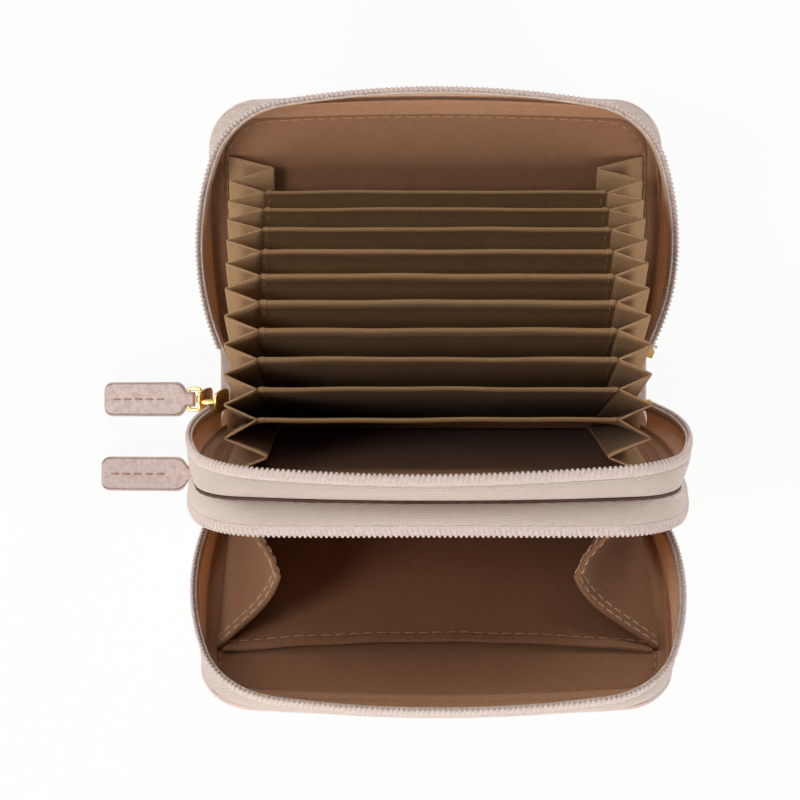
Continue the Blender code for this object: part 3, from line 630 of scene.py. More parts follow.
class Draft:
    """The points, faces and cloth coordinates of one piece, before it becomes an object."""

    def __init__(self, name: str) -> None:
        """Start an empty draft."""
        self.name = name
        self.points: list[Array] = []
        self.cloth: list[Array] = []
        self.faces: list[tuple[int, ...]] = []
        self.slots: list[int] = []
        self.count = 0

    def add_points(self, points: Array, cloth: Array | None = None) -> int:
        """Add points and return the first one's number."""
        flat = np.asarray(points, float).reshape(-1, 3)
        self.points.append(flat)
        self.cloth.append(np.zeros((len(flat), 2)) if cloth is None else np.asarray(cloth).reshape(-1, 2))
        self.count += len(flat)
        return self.count - len(flat)

    def add_face(self, numbers: Iterable[int], slot: int = 0, flip: bool = False) -> None:
        """Add a face of a material, turned over if it has to look the other way."""
        face = tuple(numbers)
        self.faces.append(face[::-1] if flip else face)
        self.slots.append(slot)

    def bridge(self, rows: Sequence[Array], slot: int = 0, flip: bool = False, closed: bool = False) -> None:
        """Add a face between each four neighbours in rows of point numbers, round to the start if closed."""
        numbers = [row.tolist() for row in rows]
        for lower, upper in zip(numbers, numbers[1:]):
            for c in range(len(lower) if closed else len(lower) - 1):
                d = (c + 1) % len(lower)
                self.add_face((lower[c], lower[d], upper[d], upper[c]), slot, flip)

    def cap(self, first: int, rows: int, columns: int, slot: int = 0) -> None:
        """Close both ends of a tube whose points were added ring by ring."""
        for start, flip in ((first, True), (first + (rows - 1) * columns, False)):
            self.add_face(range(start, start + columns), slot, flip)

    def add_grid(
        self, points: Array, cloth: Array | None = None, slot: int = 0, flip: bool = False, closed: bool = False
    ) -> int:
        """Add rows by columns of points with their faces, and return the first point's number."""
        rows, columns = points.shape[:2]
        first = self.add_points(points, cloth)
        self.bridge(first + np.arange(rows * columns).reshape(rows, columns), slot, flip, closed)
        return first

    def add_sheet(
        self, rows: Array, thickness: float, cloth: Array, slots: tuple[int, int, int] = (0, 0, 0)
    ) -> None:
        """Add a closed sheet of an even thickness with rounded edges.

        Args:
            rows: Rows by columns of points in the sheet's middle.
            thickness: Its thickness.
            cloth: Cloth coordinates of the same points.
            slots: Materials of its front, its back and its edge.
        """
        lift = normals(rows) * thickness / 2
        front = self.add_grid(rows + lift, cloth, slots[0])
        back = self.add_grid(rows - lift, cloth, slots[1], flip=True)
        loop = border(*rows.shape[:2])
        flat = rows.reshape(-1, 3)[loop]
        outward = unit(np.cross(np.roll(flat, -1, 0) - np.roll(flat, 1, 0), lift.reshape(-1, 3)[loop]))
        middle = self.add_points(flat + outward * thickness * 0.4, cloth.reshape(-1, 2)[loop])
        strips = (front + loop, middle + np.arange(len(loop)), back + loop)
        self.bridge(strips, slots[2], flip=True, closed=True)

    def add_tube(
        self,
        path: Array,
        radius: Array | float,
        sides: int,
        slot: int = 0,
        loop: bool = False,
        flatten: tuple[Array, float] | None = None,
    ) -> None:
        """Add a round tube along a path.

        Args:
            path: The points of its middle line.
            radius: Its radius, the same all along or one for each point.
            sides: Points round it.
            slot: Its material.
            loop: Whether its end joins its start.
            flatten: A direction for each point, and how much of the radius is left that way.
        """
        run = unit(np.roll(path, -1, 0) - np.roll(path, 1, 0) if loop else np.gradient(path, axis=0))
        keep = 1.0
        if flatten is None:
            side = np.zeros_like(run)
            seed = np.array((0.0, 0.0, 1.0) if abs(run[0][2]) < 0.9 else (1.0, 0.0, 0.0))
            for i, way in enumerate(run):
                seed = unit(seed - way * seed.dot(way))
                side[i] = seed
        else:
            side = unit(flatten[0] - run * (flatten[0] * run).sum(1, keepdims=True))
            keep = flatten[1]
        angles = np.linspace(0, 2 * math.pi, sides, endpoint=False)[:, None]
        ring = side[:, None] * np.cos(angles) * keep + np.cross(run, side)[:, None] * np.sin(angles)
        wide = np.broadcast_to(radius, len(path))[:, None]
        rows = path[:, None] + ring * wide[..., None]
        if loop:
            self.add_grid(np.concatenate((rows, rows[:1])), None, slot, closed=True)
            return
        first = self.add_grid(rows, None, slot, closed=True)
        tips = np.stack((path[0] - run[0] * wide[0] * 0.5, path[-1] + run[-1] * wide[-1] * 0.5))
        ends = self.add_points(tips)
        last = first + (len(path) - 1) * sides
        for i in range(sides):
            j = (i + 1) % sides
            self.add_face((first + j, first + i, ends), slot)
            self.add_face((last + i, last + j, ends + 1), slot)

    def add_slab(self, outline: Array, thickness: float, bevel: float, place: Place) -> None:
        """Add a flat plate with softened edges.

        Args:
            outline: Its outline's points, in order.
            thickness: Its thickness.
            bevel: How far its edges are rounded.
            place: Where a point of the plate lies in the open wallet.
        """
        run = unit(np.roll(outline, -1, 0) - np.roll(outline, 1, 0))
        inward = np.stack((-run[:, 1], run[:, 0]), -1)
        if ((outline.mean(0) - outline) * inward).sum() < 0:
            inward = -inward
        rings = []
        for turn in (math.pi / 2, math.pi / 4, 0.0):
            rings.append((bevel * (1 - math.cos(turn)), thickness / 2 - bevel * (1 - math.sin(turn))))
        rows = [place(np.insert(outline + inward * inset, 2, lift, 1)) for inset, lift in both_ways(rings)]
        first = self.add_grid(np.array(rows), closed=True)
        self.cap(first, len(rows), len(outline))

    def add_stitches(self, path: Array, up: Array, stitch: Stitch, slot: int = 0) -> None:
        """Add a row of stitches whose ends dip into what they hold.

        Args:
            path: The seam's line on the surface.
            up: The surface's normal, the same all along or one for each point of the line.
            stitch: The stitches' sizes.
            slot: The thread's material.
        """
        total = length_of(path)
        count = max(1, int(total / (stitch.length + stitch.gap)))
        both = np.concatenate((path, np.broadcast_to(up, path.shape)), 1)
        ends = np.linspace(-stitch.length / 2, stitch.length / 2, len(STITCH_RISE))
        for i in range(count):
            found = spaced(both, (i + 0.5) * total / count + ends, path)
            rise = unit(found[:, 3:]) * stitch.radius * STITCH_RISE[:, None]
            self.add_tube(found[:, :3] + rise, stitch.radius, 6, slot)

    def build(self, *materials: bpy.types.Material, sharp: float | None = None) -> bpy.types.Object:
        """Return the draft as an object.

        Args:
            materials: The materials that the faces' slots stand for.
            sharp: The angle in degrees from which an edge is kept sharp, or none.

        Returns:
            The object, linked to the scene.
        """
        mesh = bpy.data.meshes.new(self.name)
        mesh.from_pydata(np.concatenate(self.points).tolist(), [], self.faces)
        for material in materials:
            mesh.materials.append(material)
        mesh.polygons.foreach_set("material_index", self.slots)
        layer = mesh.uv_layers.new(name=CLOTH_MAP)
        corners = np.zeros(len(mesh.loops), int)
        mesh.loops.foreach_get("vertex_index", corners)
        layer.data.foreach_set("uv", np.concatenate(self.cloth)[corners].ravel())
        mesh.update()
        mesh.shade_smooth()
        if sharp is not None:
            mesh.set_sharp_from_angle(angle=math.radians(sharp))
        made = bpy.data.objects.new(self.name, mesh)
        bpy.context.scene.collection.objects.link(made)
        log.info("%s: %d faces", self.name, len(self.faces))
        return made


def tie(made: bpy.types.Object, body: str, slot: str, *nodes: str) -> None:
    """Let a piece stand for solids, if any, and give it its body."""
    if nodes:
        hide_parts(*nodes)
    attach(made, body)


def border(height: int, width: int) -> Array:
    """Return the numbers of a grid's border points, in order round it."""
    grid = np.arange(height * width).reshape(height, width)
    return np.concatenate((grid[0], grid[1:, -1], grid[-1, -2::-1], grid[-2:0:-1, 0]))


def normals(grid: Array) -> Array:
    """Return a grid's normals."""
    return unit(np.cross(np.gradient(grid, axis=1), np.gradient(grid, axis=0)))


def run_lengths(rows: Array) -> Array:
    """Return cloth coordinates that measure each row and column of a grid in metres."""
    across = np.linalg.norm(np.diff(rows, axis=1), axis=2)
    u = np.concatenate((np.zeros((len(rows), 1)), np.cumsum(across, 1)), 1)
    upward = np.linalg.norm(np.diff(rows, axis=0), axis=2)
    v = np.concatenate((np.zeros((1, rows.shape[1])), np.cumsum(upward, 0)), 0)
    return np.stack((u - u.mean(1, keepdims=True), v), -1)


def area_of(rows: Array) -> float:
    """Return the area of a grid of points."""
    a = np.cross(rows[:-1, 1:] - rows[:-1, :-1], rows[1:, :-1] - rows[:-1, :-1])
    b = np.cross(rows[:-1, 1:] - rows[1:, 1:], rows[1:, :-1] - rows[1:, 1:])
    return float((np.linalg.norm(a, axis=2).sum() + np.linalg.norm(b, axis=2).sum()) / 2)


def panel_grid(outline: Outline, foot: float, steps: tuple[int, int, int]) -> Array:
    """Return rows of (x, height) points that fill an outline, with the border's points on it."""
    line = outline.line(foot, steps)
    side = steps[0] + steps[1] // 2
    left, top, right = line[: side + 1], line[side : len(line) - side], line[::-1][: side + 1]
    across = np.linspace(0, 1, len(top))[None, :, None]
    up = np.linspace(0, 1, side + 1)[:, None, None]
    bottom = left[0] + (right[0] - left[0]) * across
    ruled = left[:, None] * (1 - across) + right[:, None] * across
    risen = bottom * (1 - up) + top * up
    low = left[0] * (1 - across) + right[0] * across
    high = left[-1] * (1 - across) + right[-1] * across
    return ruled + risen - low * (1 - up) - high * up


# ---------------------------------------------------------------- sub-assemblies


@dataclass
class Skin:
    """One half of the leather skin: a cover and the spine up to the wall."""

    panel: Panel
    finishes: Finishes
    solids: tuple[str, ...]
    bend: float = 0.0016
    rounding: float = 0.0005
    seam_inset: float = 0.0024
    seam_foot: float = 0.004

    def __post_init__(self) -> None:
        """Work out the bend at the fold line."""
        self.way = 1 if self.panel.fold > 0 else -1
        self.turn = math.pi / 2 - abs(self.panel.lean)
        tangent = self.bend * math.tan(self.turn / 2)
        self.start, self.end = COMPARTMENT - tangent, COMPARTMENT + tangent

    def place(self, flat: Array, lift: float) -> Array:
        """Return where (x, reach) points lie, at a height over the skin's middle.

        Args:
            flat: Points at a distance from the spine's middle, measured along the skin.
            lift: The height.

        Returns:
            The points in the open wallet.
        """
        reach = flat[..., 1]
        angle = np.clip((reach - self.start) / (self.end - self.start), 0, 1) * self.turn
        beyond = np.maximum(reach - self.end, 0)
        y = np.minimum(reach, self.start) + (self.bend - lift) * np.sin(angle) + beyond * math.cos(self.turn)
        z = FOLD_HEIGHT + self.bend * (1 - np.cos(angle)) + beyond * math.sin(self.turn) + lift * np.cos(angle)
        return np.stack((flat[..., 0], self.way * y, z), -1)

    def build(self) -> None:
        """Make the leather and its border stitches."""
        cover = panel_grid(self.panel.edge, 0.0, (22, 16, 26)) + (0, COMPARTMENT)
        low = np.concatenate((np.linspace(0, self.start, 9), np.linspace(self.start, self.end, 7)[1:]))
        spine = [np.stack((cover[0, :, 0], np.full(cover.shape[1], reach)), -1) for reach in low]
        flat = np.concatenate((np.array(spine), cover[1:]))
        height, width = flat.shape[:2]
        loop = np.append(border(height, width)[width - 1 :], 0)
        edge = flat.reshape(-1, 2)[loop]
        run = unit(np.gradient(edge, axis=0))
        outward = np.stack((run[:, 1], -run[:, 0]), -1)
        pulled = flat.reshape(-1, 2).copy()
        pulled[loop] -= outward * self.rounding
        pulled[:width, 1] = 0
        pulled = pulled.reshape(flat.shape)
        draft = Draft(self.panel.name + "_skin")
        half = LEATHER / 2
        up = draft.add_grid(self.place(pulled, half), pulled, flip=self.way < 0)
        down = draft.add_grid(self.place(pulled, -half), pulled, flip=self.way > 0)
        rings = []
        for angle in (math.pi / 4, math.pi / 2):
            rings.append((self.rounding * (math.sin(angle) - 1), half - self.rounding * (1 - math.cos(angle))))
        strips = [up + loop]
        for out, lift in both_ways(rings):
            points = edge + outward * out
            points[0, 1] = points[-1, 1] = 0
            strips.append(draft.add_points(self.place(points, lift), points) + np.arange(len(loop)))
        draft.bridge([*strips, down + loop], 1, flip=self.way > 0)
        skin = draft.build(self.finishes.leather, self.finishes.edge)
        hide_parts(*self.solids)
        reach = (self.panel.way(0, 1) + Vector((0, self.way, 0))).normalized() * self.bend
        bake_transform(skin)
        self.sew()

    def sew(self) -> None:
        """Make the border seam on the outside of the cover."""
        line = self.panel.edge.inset(self.seam_inset).line(self.seam_foot, FINE)
        draft = Draft(self.panel.name + "_skin_stitches")
        draft.add_stitches(self.panel.place(line, -LEATHER / 2), np.array(self.panel.way(-1, 0)), SKIN_STITCH)
        tie(draft.build(self.finishes.seam), self.panel.body, "leather")


@dataclass
class ZipHalf:
    """Half a zip on one panel: its woven tape and its spiral coil."""

    panel: Panel
    finishes: Finishes
    tape: float = 0.0006
    inset: float = 0.0004
    flange: float = 0.0062
    turn_in: float = 0.0010
    foot: float = 0.0035
    sewn: float = 0.0065
    swell: float = 0.0006
    lean_out: float = 0.62
    coil_foot: float = 0.0058
    pitch: float = 0.00127
    wire: float = 0.00036
    thick: float = 0.00034
    head: float = 0.22
    core: float = 0.00050
    turn_points: int = 14

    def fence(self) -> Array:
        """Return the middle of the tape, from its sewn flange round the leather's edge to under the coil."""
        panel = self.panel
        start = LEATHER / 2 + 0.0003 if panel.face == COVER_FACE else 0.0006
        insets = (self.flange, self.turn_in, 0.0)
        lines = [panel.edge.inset(self.inset + by).line(self.foot, FINE) for by in insets]
        edge, rim = lines[-1], panel.rim_at(COIL_BASE)
        straight = rim.line(self.foot, FINE)
        middle = edge + (rim.inset(-self.swell).line(self.foot, FINE) - edge) * self.lean_out
        risen = []
        for share in np.linspace(0.2, 0.98, 11):
            a, b, c = (1 - share) * (1 - 2 * share), 4 * share * (1 - share), share * (2 * share - 1)
            depth = a * start + b * (start + self.sewn) / 2 + c * self.sewn
            risen.append(panel.place(edge * a + middle * b + straight * c, depth))
        turned = soften([*(panel.place(line, start) for line in lines), risen[0]], 0.48, 4)
        tucked = []
        for inset, depth in ((0.0003, 0.0068), (0.0007, 0.0072), (0.0008, 0.0080), (0.0008, 0.0086)):
            tucked.append(panel.place(panel.rim_at(depth).inset(inset).line(self.foot, FINE), depth))
        return np.concatenate((turned, risen[1:], tucked))

    def build(self) -> None:
        """Make the tape and the coil."""
        rows = self.fence()
        draft = Draft(self.panel.name + "_zip_tape")
        draft.add_sheet(rows, self.tape, run_lengths(rows), self.front_out(rows))
        # the tape's inside takes the paler, warmer painted-light copy of the tape
        tape = draft.build(self.finishes.tape, self.finishes.tape_inside_painted_light)
        tie(tape, self.panel.body, "zip_tape", self.panel.name + "_tape")
        self.wind()

    def front_out(self, rows: Array) -> tuple[int, int, int]:
        """Return the slots in an order that puts the first one on the tape's outer face."""
        outward = normals(rows)[-3, rows.shape[1] // 2].dot(np.array(self.panel.way(0, 1)))
        return (0, 1, 0) if outward > 0 else (1, 0, 0)

    def wind(self) -> None:
        """Make the coil: straight legs out to each rounded tip, a step back at the sewn side, and a core."""
        panel = self.panel
        line = panel.rim.line(self.coil_foot, (80, 60, 90))
        total = length_of(line)
        turns = round(total / self.pitch)
        angle = np.arange(turns * self.turn_points + 1) / self.turn_points * 2 * math.pi
        turn = np.round(angle / (2 * math.pi))
        step = np.clip(angle - turn * 2 * math.pi, -1, 1)
        marks = np.clip(turn + step * 0.5, 0.2, turns - 0.2) * total / turns
        ahead = spaced(line, np.clip(marks, 0.001, total - 0.001) + 0.0002)
        run = unit(ahead - spaced(line, marks - 0.0002))
        outward = np.stack((-run[:, 1], run[:, 0]), -1)
        middle, reach = (COIL_BASE + COIL_TOP) / 2, (COIL_TOP - COIL_BASE) / 2
        sin, cos = np.sin(angle), np.cos(angle)
        depth = middle - (reach - self.wire) * np.sign(cos) * np.abs(cos) ** 0.75
        lift = self.thick * np.sign(sin) * np.abs(sin) ** 0.7
        lift -= panel.flare * (COIL_TOP - depth) / (COIL_TOP - COIL_BASE)
        points = panel.place(spaced(line, marks) + outward * lift[:, None], depth)
        draft = Draft(panel.name + "_zip_coil")
        draft.add_tube(points, self.wire * (1 + self.head * np.maximum(-cos, 0) ** 3), 7)
        shape = ((-1.0, -0.45), (-0.75, -1.0), (0.45, -1.0), (0.85, -0.45))
        ring = []
        for way, rise in shape + tuple((way, -rise) for way, rise in reversed(shape)):
            deep = middle + way * reach - 0.0003
            ring.append(panel.place(panel.rim_at(deep).inset(-rise * self.core).line(self.coil_foot, FINE), deep))
        band = np.transpose(np.array(ring), (1, 0, 2))
        draft.cap(draft.add_grid(band, None, 1, closed=True), *band.shape[:2], 1)
        # the core takes the paler painted-light cord colour
        coil = draft.build(self.finishes.coil, self.finishes.cord_painted_light)
        tie(coil, panel.body, "zip_coil", panel.name + "_coil")


@dataclass
class WallGapShade:
    """A dark cord of painted shade in the gap between the wall's two tapes."""

    finishes: Finishes
    radius: float = 0.00042
    inset: float = 0.00055
    foot: float = 0.006

    def build(self) -> None:
        """Make the painted-shade cord along the wall's edge, a little uneven."""
        line = WALL_EDGE.inset(self.inset).line(self.foot, (60, 40, 90))
        wander = 0.00010 * np.sin(line[:, 0] * 260) + 0.00007 * np.sin(line[:, 1] * 410 + 1.0)
        draft = Draft("wall_gap_painted_shade")
        draft.add_tube(CARD_WALL.place(line, wander), self.radius * (1 + 0.12 * np.sin(np.arange(len(line)) * 0.9)), 8)
        tie(draft.build(self.finishes.gap_shade), "wall", "leather")


@dataclass
class PanelLining:
    """A panel's lining: flat on the panel, and folded up inside the tape."""

    panel: Panel
    finishes: Finishes
    swell: float
    inset: float = 0.0007
    gap: float = 0.0010
    lap: float = 0.0026
    foot: float = 0.0032
    rise: float = 0.0032
    wall_rise: float = 0.0012
    seam_half: float = 0.0548
    seam_corner: float = 0.012
    seam_sag: float = 0.0012

    def build(self) -> None:
        """Make the flat sheet, the strip that folds up, and the seam between them."""
        panel = self.panel
        draft = Draft(panel.name + "_lining_cloth")
        depth = panel.face - LINING / 2
        inner = panel.edge.inset(self.inset + self.gap + self.lap)
        flat = panel_grid(inner, self.foot, (22, 14, 26))
        ripple = 0.00012 * np.sin(flat[..., 0] * 210 + 1.3) * np.sin(flat[..., 1] * 170 + 0.4)
        sheet = panel.place(flat, depth + np.abs(ripple))
        draft.add_sheet(sheet, LINING, flat)
        bent = panel.rim_at(COIL_BASE)
        outlines = (inner, panel.edge.inset(self.inset + self.gap), bent.inset(self.gap - self.swell))
        lapped, corner, swollen = (outline.line(self.foot, FINE) for outline in outlines)
        rim = bent.inset(self.gap).line(self.foot, FINE)
        top = self.rise if panel.face == COVER_FACE else panel.face + self.wall_rise
        controls = (
            (lapped, depth),
            (corner, depth),
            (corner + (swollen - corner) * 0.18, (depth + top) / 2),
            (corner + (rim - corner) * 0.34, top),
        )
        rows = soften([panel.place(*control) for control in controls], 0.32, 4, 2)
        # the folded-up strip takes the paler painted-light copy of the lining cloth
        draft.add_sheet(rows, LINING, run_lengths(rows), (1, 1, 1))
        made = draft.build(self.finishes.lining, self.finishes.strip)
        tie(made, panel.body, "lining", panel.name + "_lining")
        self.sew(depth)

    def sew(self, depth: float) -> None:
        """Make the seam up both sides and across the top of the flat part."""
        corner, half = self.seam_corner, self.seam_half
        top = self.panel.edge.top - (0.0048 if self.panel is CARD_COVER else 0.0022)
        turn = arc_points((half - corner, top - corner - self.seam_sag), corner, 0, math.pi / 2, 12)
        across = np.linspace(turn[-1, 0], -turn[-1, 0], 40)[1:-1]
        over = np.stack((across, top - self.seam_sag * (across / (half - corner)) ** 2), -1)
        side = np.stack((np.full(30, half), np.linspace(0.010, turn[0, 1], 30)), -1)[:-1]
        right = np.concatenate((side, turn))
        seam = np.concatenate((right, over, right[::-1] * (-1, 1)))
        draft = Draft(self.panel.name + "_lining_stitches")
        path = self.panel.place(seam, depth + LINING / 2)
        draft.add_stitches(path, np.array(self.panel.way(1, 0)), LINING_STITCH)
        tie(draft.build(self.finishes.thread), self.panel.body, "lining")


@dataclass
class SpineLining:
    """The lining on the spine's inside, and the accordion's floor on it."""

    finishes: Finishes
    by_wall: float = 0.0587
    reach: float = 0.0068

    def build(self) -> None:
        """Make both sheets."""
        for node in ("spine_lining", "accordion_floor"):
            low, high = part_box(node)
            across, along = np.meshgrid(np.linspace(low.x, high.x, 60), np.linspace(low.y, high.y, 18))
            if node == "spine_lining":
                across = across * (1 + (self.by_wall / high.x - 1) * np.exp(-((along / self.reach) ** 4)))
            wave = 0.00005 * np.sin(across * 190) * np.sin(along * 260)
            rows = np.stack((across, along, (low.z + high.z) / 2 + wave), -1)
            draft = Draft(node + "_cloth")
            draft.add_sheet(rows, high.z - low.z, rows[..., :2])
            made = draft.build(self.finishes.lining)
            tie(made, "root", "lining", node)


class FoldLine(NamedTuple):
    """A fold line of the gusset: its X, and (y, z) of its foot and head."""

    x: float
    foot: Array
    head: Array

    def towards(self, other: "FoldLine", share: float, x: float) -> "FoldLine":
        """Return the fold line at a share of the way to another one."""
        foot = self.foot + (other.foot - self.foot) * share
        return FoldLine(x, foot, self.head + (other.head - self.head) * share)


@dataclass
class Accordion:
    """Ten card dividers and the pleated gussets that join their ends."""

    finishes: Finishes
    count: int = 10
    width: float = 0.0884
    height: float = 0.0545
    half_cloth: float = 0.0003
    roll: float = 0.0006
    foot: float = 0.0037
    pitch: float = (COMPARTMENT - COVER_FACE - WALL_FACE) / 11
    knot: float = 0.00012
    knot_off: float = 0.00002
    seam_off: float = 0.00032
    tip: float = 0.0526
    crease: float = 0.0418
    seam: float = 0.0528
    seam_foot: float = 0.0045
    wall_top: float = 0.056
    cover_top: float = 0.0582
    pleat: float = 0.0005
    spread: float = 0.0014
    shut: float = 0.04
    clear: float = 0.085

    def lean(self, index: int) -> float:
        """Return a divider's lean, counted from the wall."""
        return FIRST_LEAN + LEAN_STEP * index

    def on_divider(self, index: int, run: Array | float, off: Array | float = 0.0) -> tuple[Array, Array]:
        """Return (y, z) at a distance up a divider and off its middle."""
        lean = self.lean(index)
        y = WALL_FACE + self.pitch * (index + 1) + run * math.sin(lean) + off * math.cos(lean)
        return y, self.foot + run * math.cos(lean) - off * math.sin(lean)

    def build(self) -> None:
        """Make the dividers and the pleats between them."""
        for index in range(self.count):
            self.divide(index)
        self.pleats()

    def divide(self, index: int) -> None:
        """Make one divider: cloth folded double, with a soft roll along its top."""
        name = f"divider_{index + 1:02d}"
        across = np.linspace(-self.width / 2, self.width / 2, 67)
        half = self.half_cloth
        start = -math.acos(half / self.roll)
        bead = arc_points((0, self.height - self.roll), self.roll, start, math.pi - start, 9)
        rise = np.linspace(0, float(bead[0, 1]), 12)[:-1]
        front = np.stack((np.full(len(rise), half), rise), 1)
        profile = np.concatenate((front, bead, front[::-1] * (-1, 1)))
        wave = 0.00013 * np.sin(across * (72 + 5 * index) + index * 1.9)
        wave += 0.00007 * np.sin(across * 231 + index * 0.7)
        dip = 0.00009 * np.cos(across * (61 + 5 * index) + index * 2.3)
        dip -= 0.0002 * (across / self.width * 2) ** 2
        share = (profile[:, 1:] / self.height) ** 2
        fade = 1 - (across / self.width * 2) ** 8
        off = profile[:, :1] + share * wave * fade
        y, z = self.on_divider(index, profile[:, 1:] + share * np.minimum(dip, 0), off)
        u = np.broadcast_to(across, y.shape)
        v = np.broadcast_to(reaches(profile)[:, None], y.shape)
        draft = Draft(name + "_cloth")
        first = draft.add_grid(np.stack((u, y, z), -1), np.stack((u, v), -1), flip=True)
        height, width = y.shape
        numbers = first + np.arange(height * width).reshape(height, width)
        draft.bridge((numbers[0], numbers[-1]))
        for column, flip in ((0, True), (width - 1, False)):
            for r in range(height // 2):
                pair = numbers[[r, r + 1, height - 2 - r, height - 1 - r], column]
                corners = tuple(dict.fromkeys(pair.tolist()))
                if len(corners) > 2:
                    draft.add_face(corners, 0, flip)
        self.tack(draft, index)
        made = draft.build(self.finishes.divider, self.finishes.thread, sharp=60)
        tie(made, name, "divider_cloth", name)

    def tack(self, draft: Draft, index: int) -> None:
        """Add the threads that tie a divider's top corners, and the seam down each end."""
        turn = np.linspace(-0.9, math.pi + 0.9, 13)
        radius = self.roll + self.knot_off
        lean = self.lean(index)
        for side in Side:
            for inset in (0.0008, 0.0013):
                x = side.value * (self.width / 2 - inset)
                y, z = self.on_divider(index, self.height - self.roll + radius * np.sin(turn), radius * np.cos(turn))
                draft.add_tube(np.stack((np.full(len(turn), x), y, z), -1), self.knot, 6, 1)
            run = np.linspace(self.height - 0.0016, self.height - 0.018, 20)
            y, z = self.on_divider(index, run, -self.seam_off)
            path = np.stack((np.full(len(run), side.value * (self.width / 2 - 0.0011)), y, z), -1)
            draft.add_stitches(path, np.array((0.0, -math.cos(lean), math.sin(lean))), DIVIDER_STITCH, 1)

    def lines(self) -> list[FoldLine]:
        """Return the gusset's fold lines, from the wall to the cover."""
        edge, end = self.width / 2 + 0.0003, 0.0006
        folds = []
        for index in range(self.count):
            foot, head = (np.array(self.on_divider(index, run)) for run in (end, self.height - end))
            folds.append(FoldLine(edge, foot, head))
        seams = []
        for panel, top, out in ((CARD_WALL, self.wall_top, 0.0), (CARD_COVER, self.cover_top, self.spread)):
            low, high = panel.place(np.array(((0.0, self.seam_foot), (0.0, top))), panel.face + 0.0003)[:, 1:]
            seams.append(FoldLine(self.seam + out, low, high))
        wall, cover = seams
        made = [wall, wall.towards(folds[0], 1 / 3, self.crease), wall.towards(folds[0], 2 / 3, self.tip)]
        for index, (first, second) in enumerate(zip(folds, folds[1:])):
            out = self.spread * ((index + 1) / self.count) ** 1.5
            made += [first, first.towards(second, 0.5, self.tip + out)]
        made += [folds[-1], cover.towards(folds[-1], 2 / 3, self.tip + self.spread)]
        return [*made, cover.towards(folds[-1], 1 / 3, self.crease), cover]

    def pleats(self) -> None:
        """Make each pleat of both gussets, and join the last one to the card cover."""
        lines = self.lines()
        cuts = [0, *range(3, 2 * self.count + 3, 2), len(lines) - 1]
        for number, (first, last) in enumerate(zip(cuts, cuts[1:])):
            up = np.linspace(0 if number < self.count else self.clear, 1, 13)[:, None]
            wave = np.linspace(0, 5, 13)[:, None] + number
            draft = Draft(f"accordion_pleat_{number + 1:02d}")
            area = 0.0
            for side in Side:
                controls = []
                for x, foot, head in lines[first : last + 1]:
                    controls.append(np.insert(foot + (head - foot) * up, 0, side.value * x, 1))
                grid = np.transpose(soften(controls, 0.07, 3, 5), (1, 0, 2))
                bulge = np.sin(np.linspace(0, 1, grid.shape[1]) * math.pi * (last - first)) ** 2
                grid[..., 0] += side.value * 0.00025 * np.sin(wave) * bulge
                draft.add_sheet(grid, self.pleat, run_lengths(grid)[..., ::-1])
                area += area_of(grid)
                flat = (2 * length_of(grid[-1]), length_of(grid[:, 0]) * 1.02)
            # the pleats take the paler painted-light copy of the tan cloth
            made = draft.build(self.finishes.pleat)
            if number == 0:
                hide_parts("accordion_gusset_left", "accordion_gusset_right")
            area = min(area, flat[0] * flat[1])
            self.hang(made, number, lines[first], lines[last])

    def hang(self, made: bpy.types.Object, number: int, first: FoldLine, last: FoldLine) -> None:
        """Give the last pleat the card cover's body, and bake the others where they stand."""
        if number == self.count:
            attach(made, "card_cover")
            across = CARD_COVER.way(1, 0)
            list(last.foot)
            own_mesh(made)
            return
        lean = self.lean(number)
        if number == 0:
            near = Vector((0, *last.head))
            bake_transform(made)
            return
        near = Vector((0, *last.foot))
        share = self.lean(number - 1) / lean
        found = min(np.linspace(0, 1, 401), key=lambda t: abs(smooth(t) - share))
        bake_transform(made)


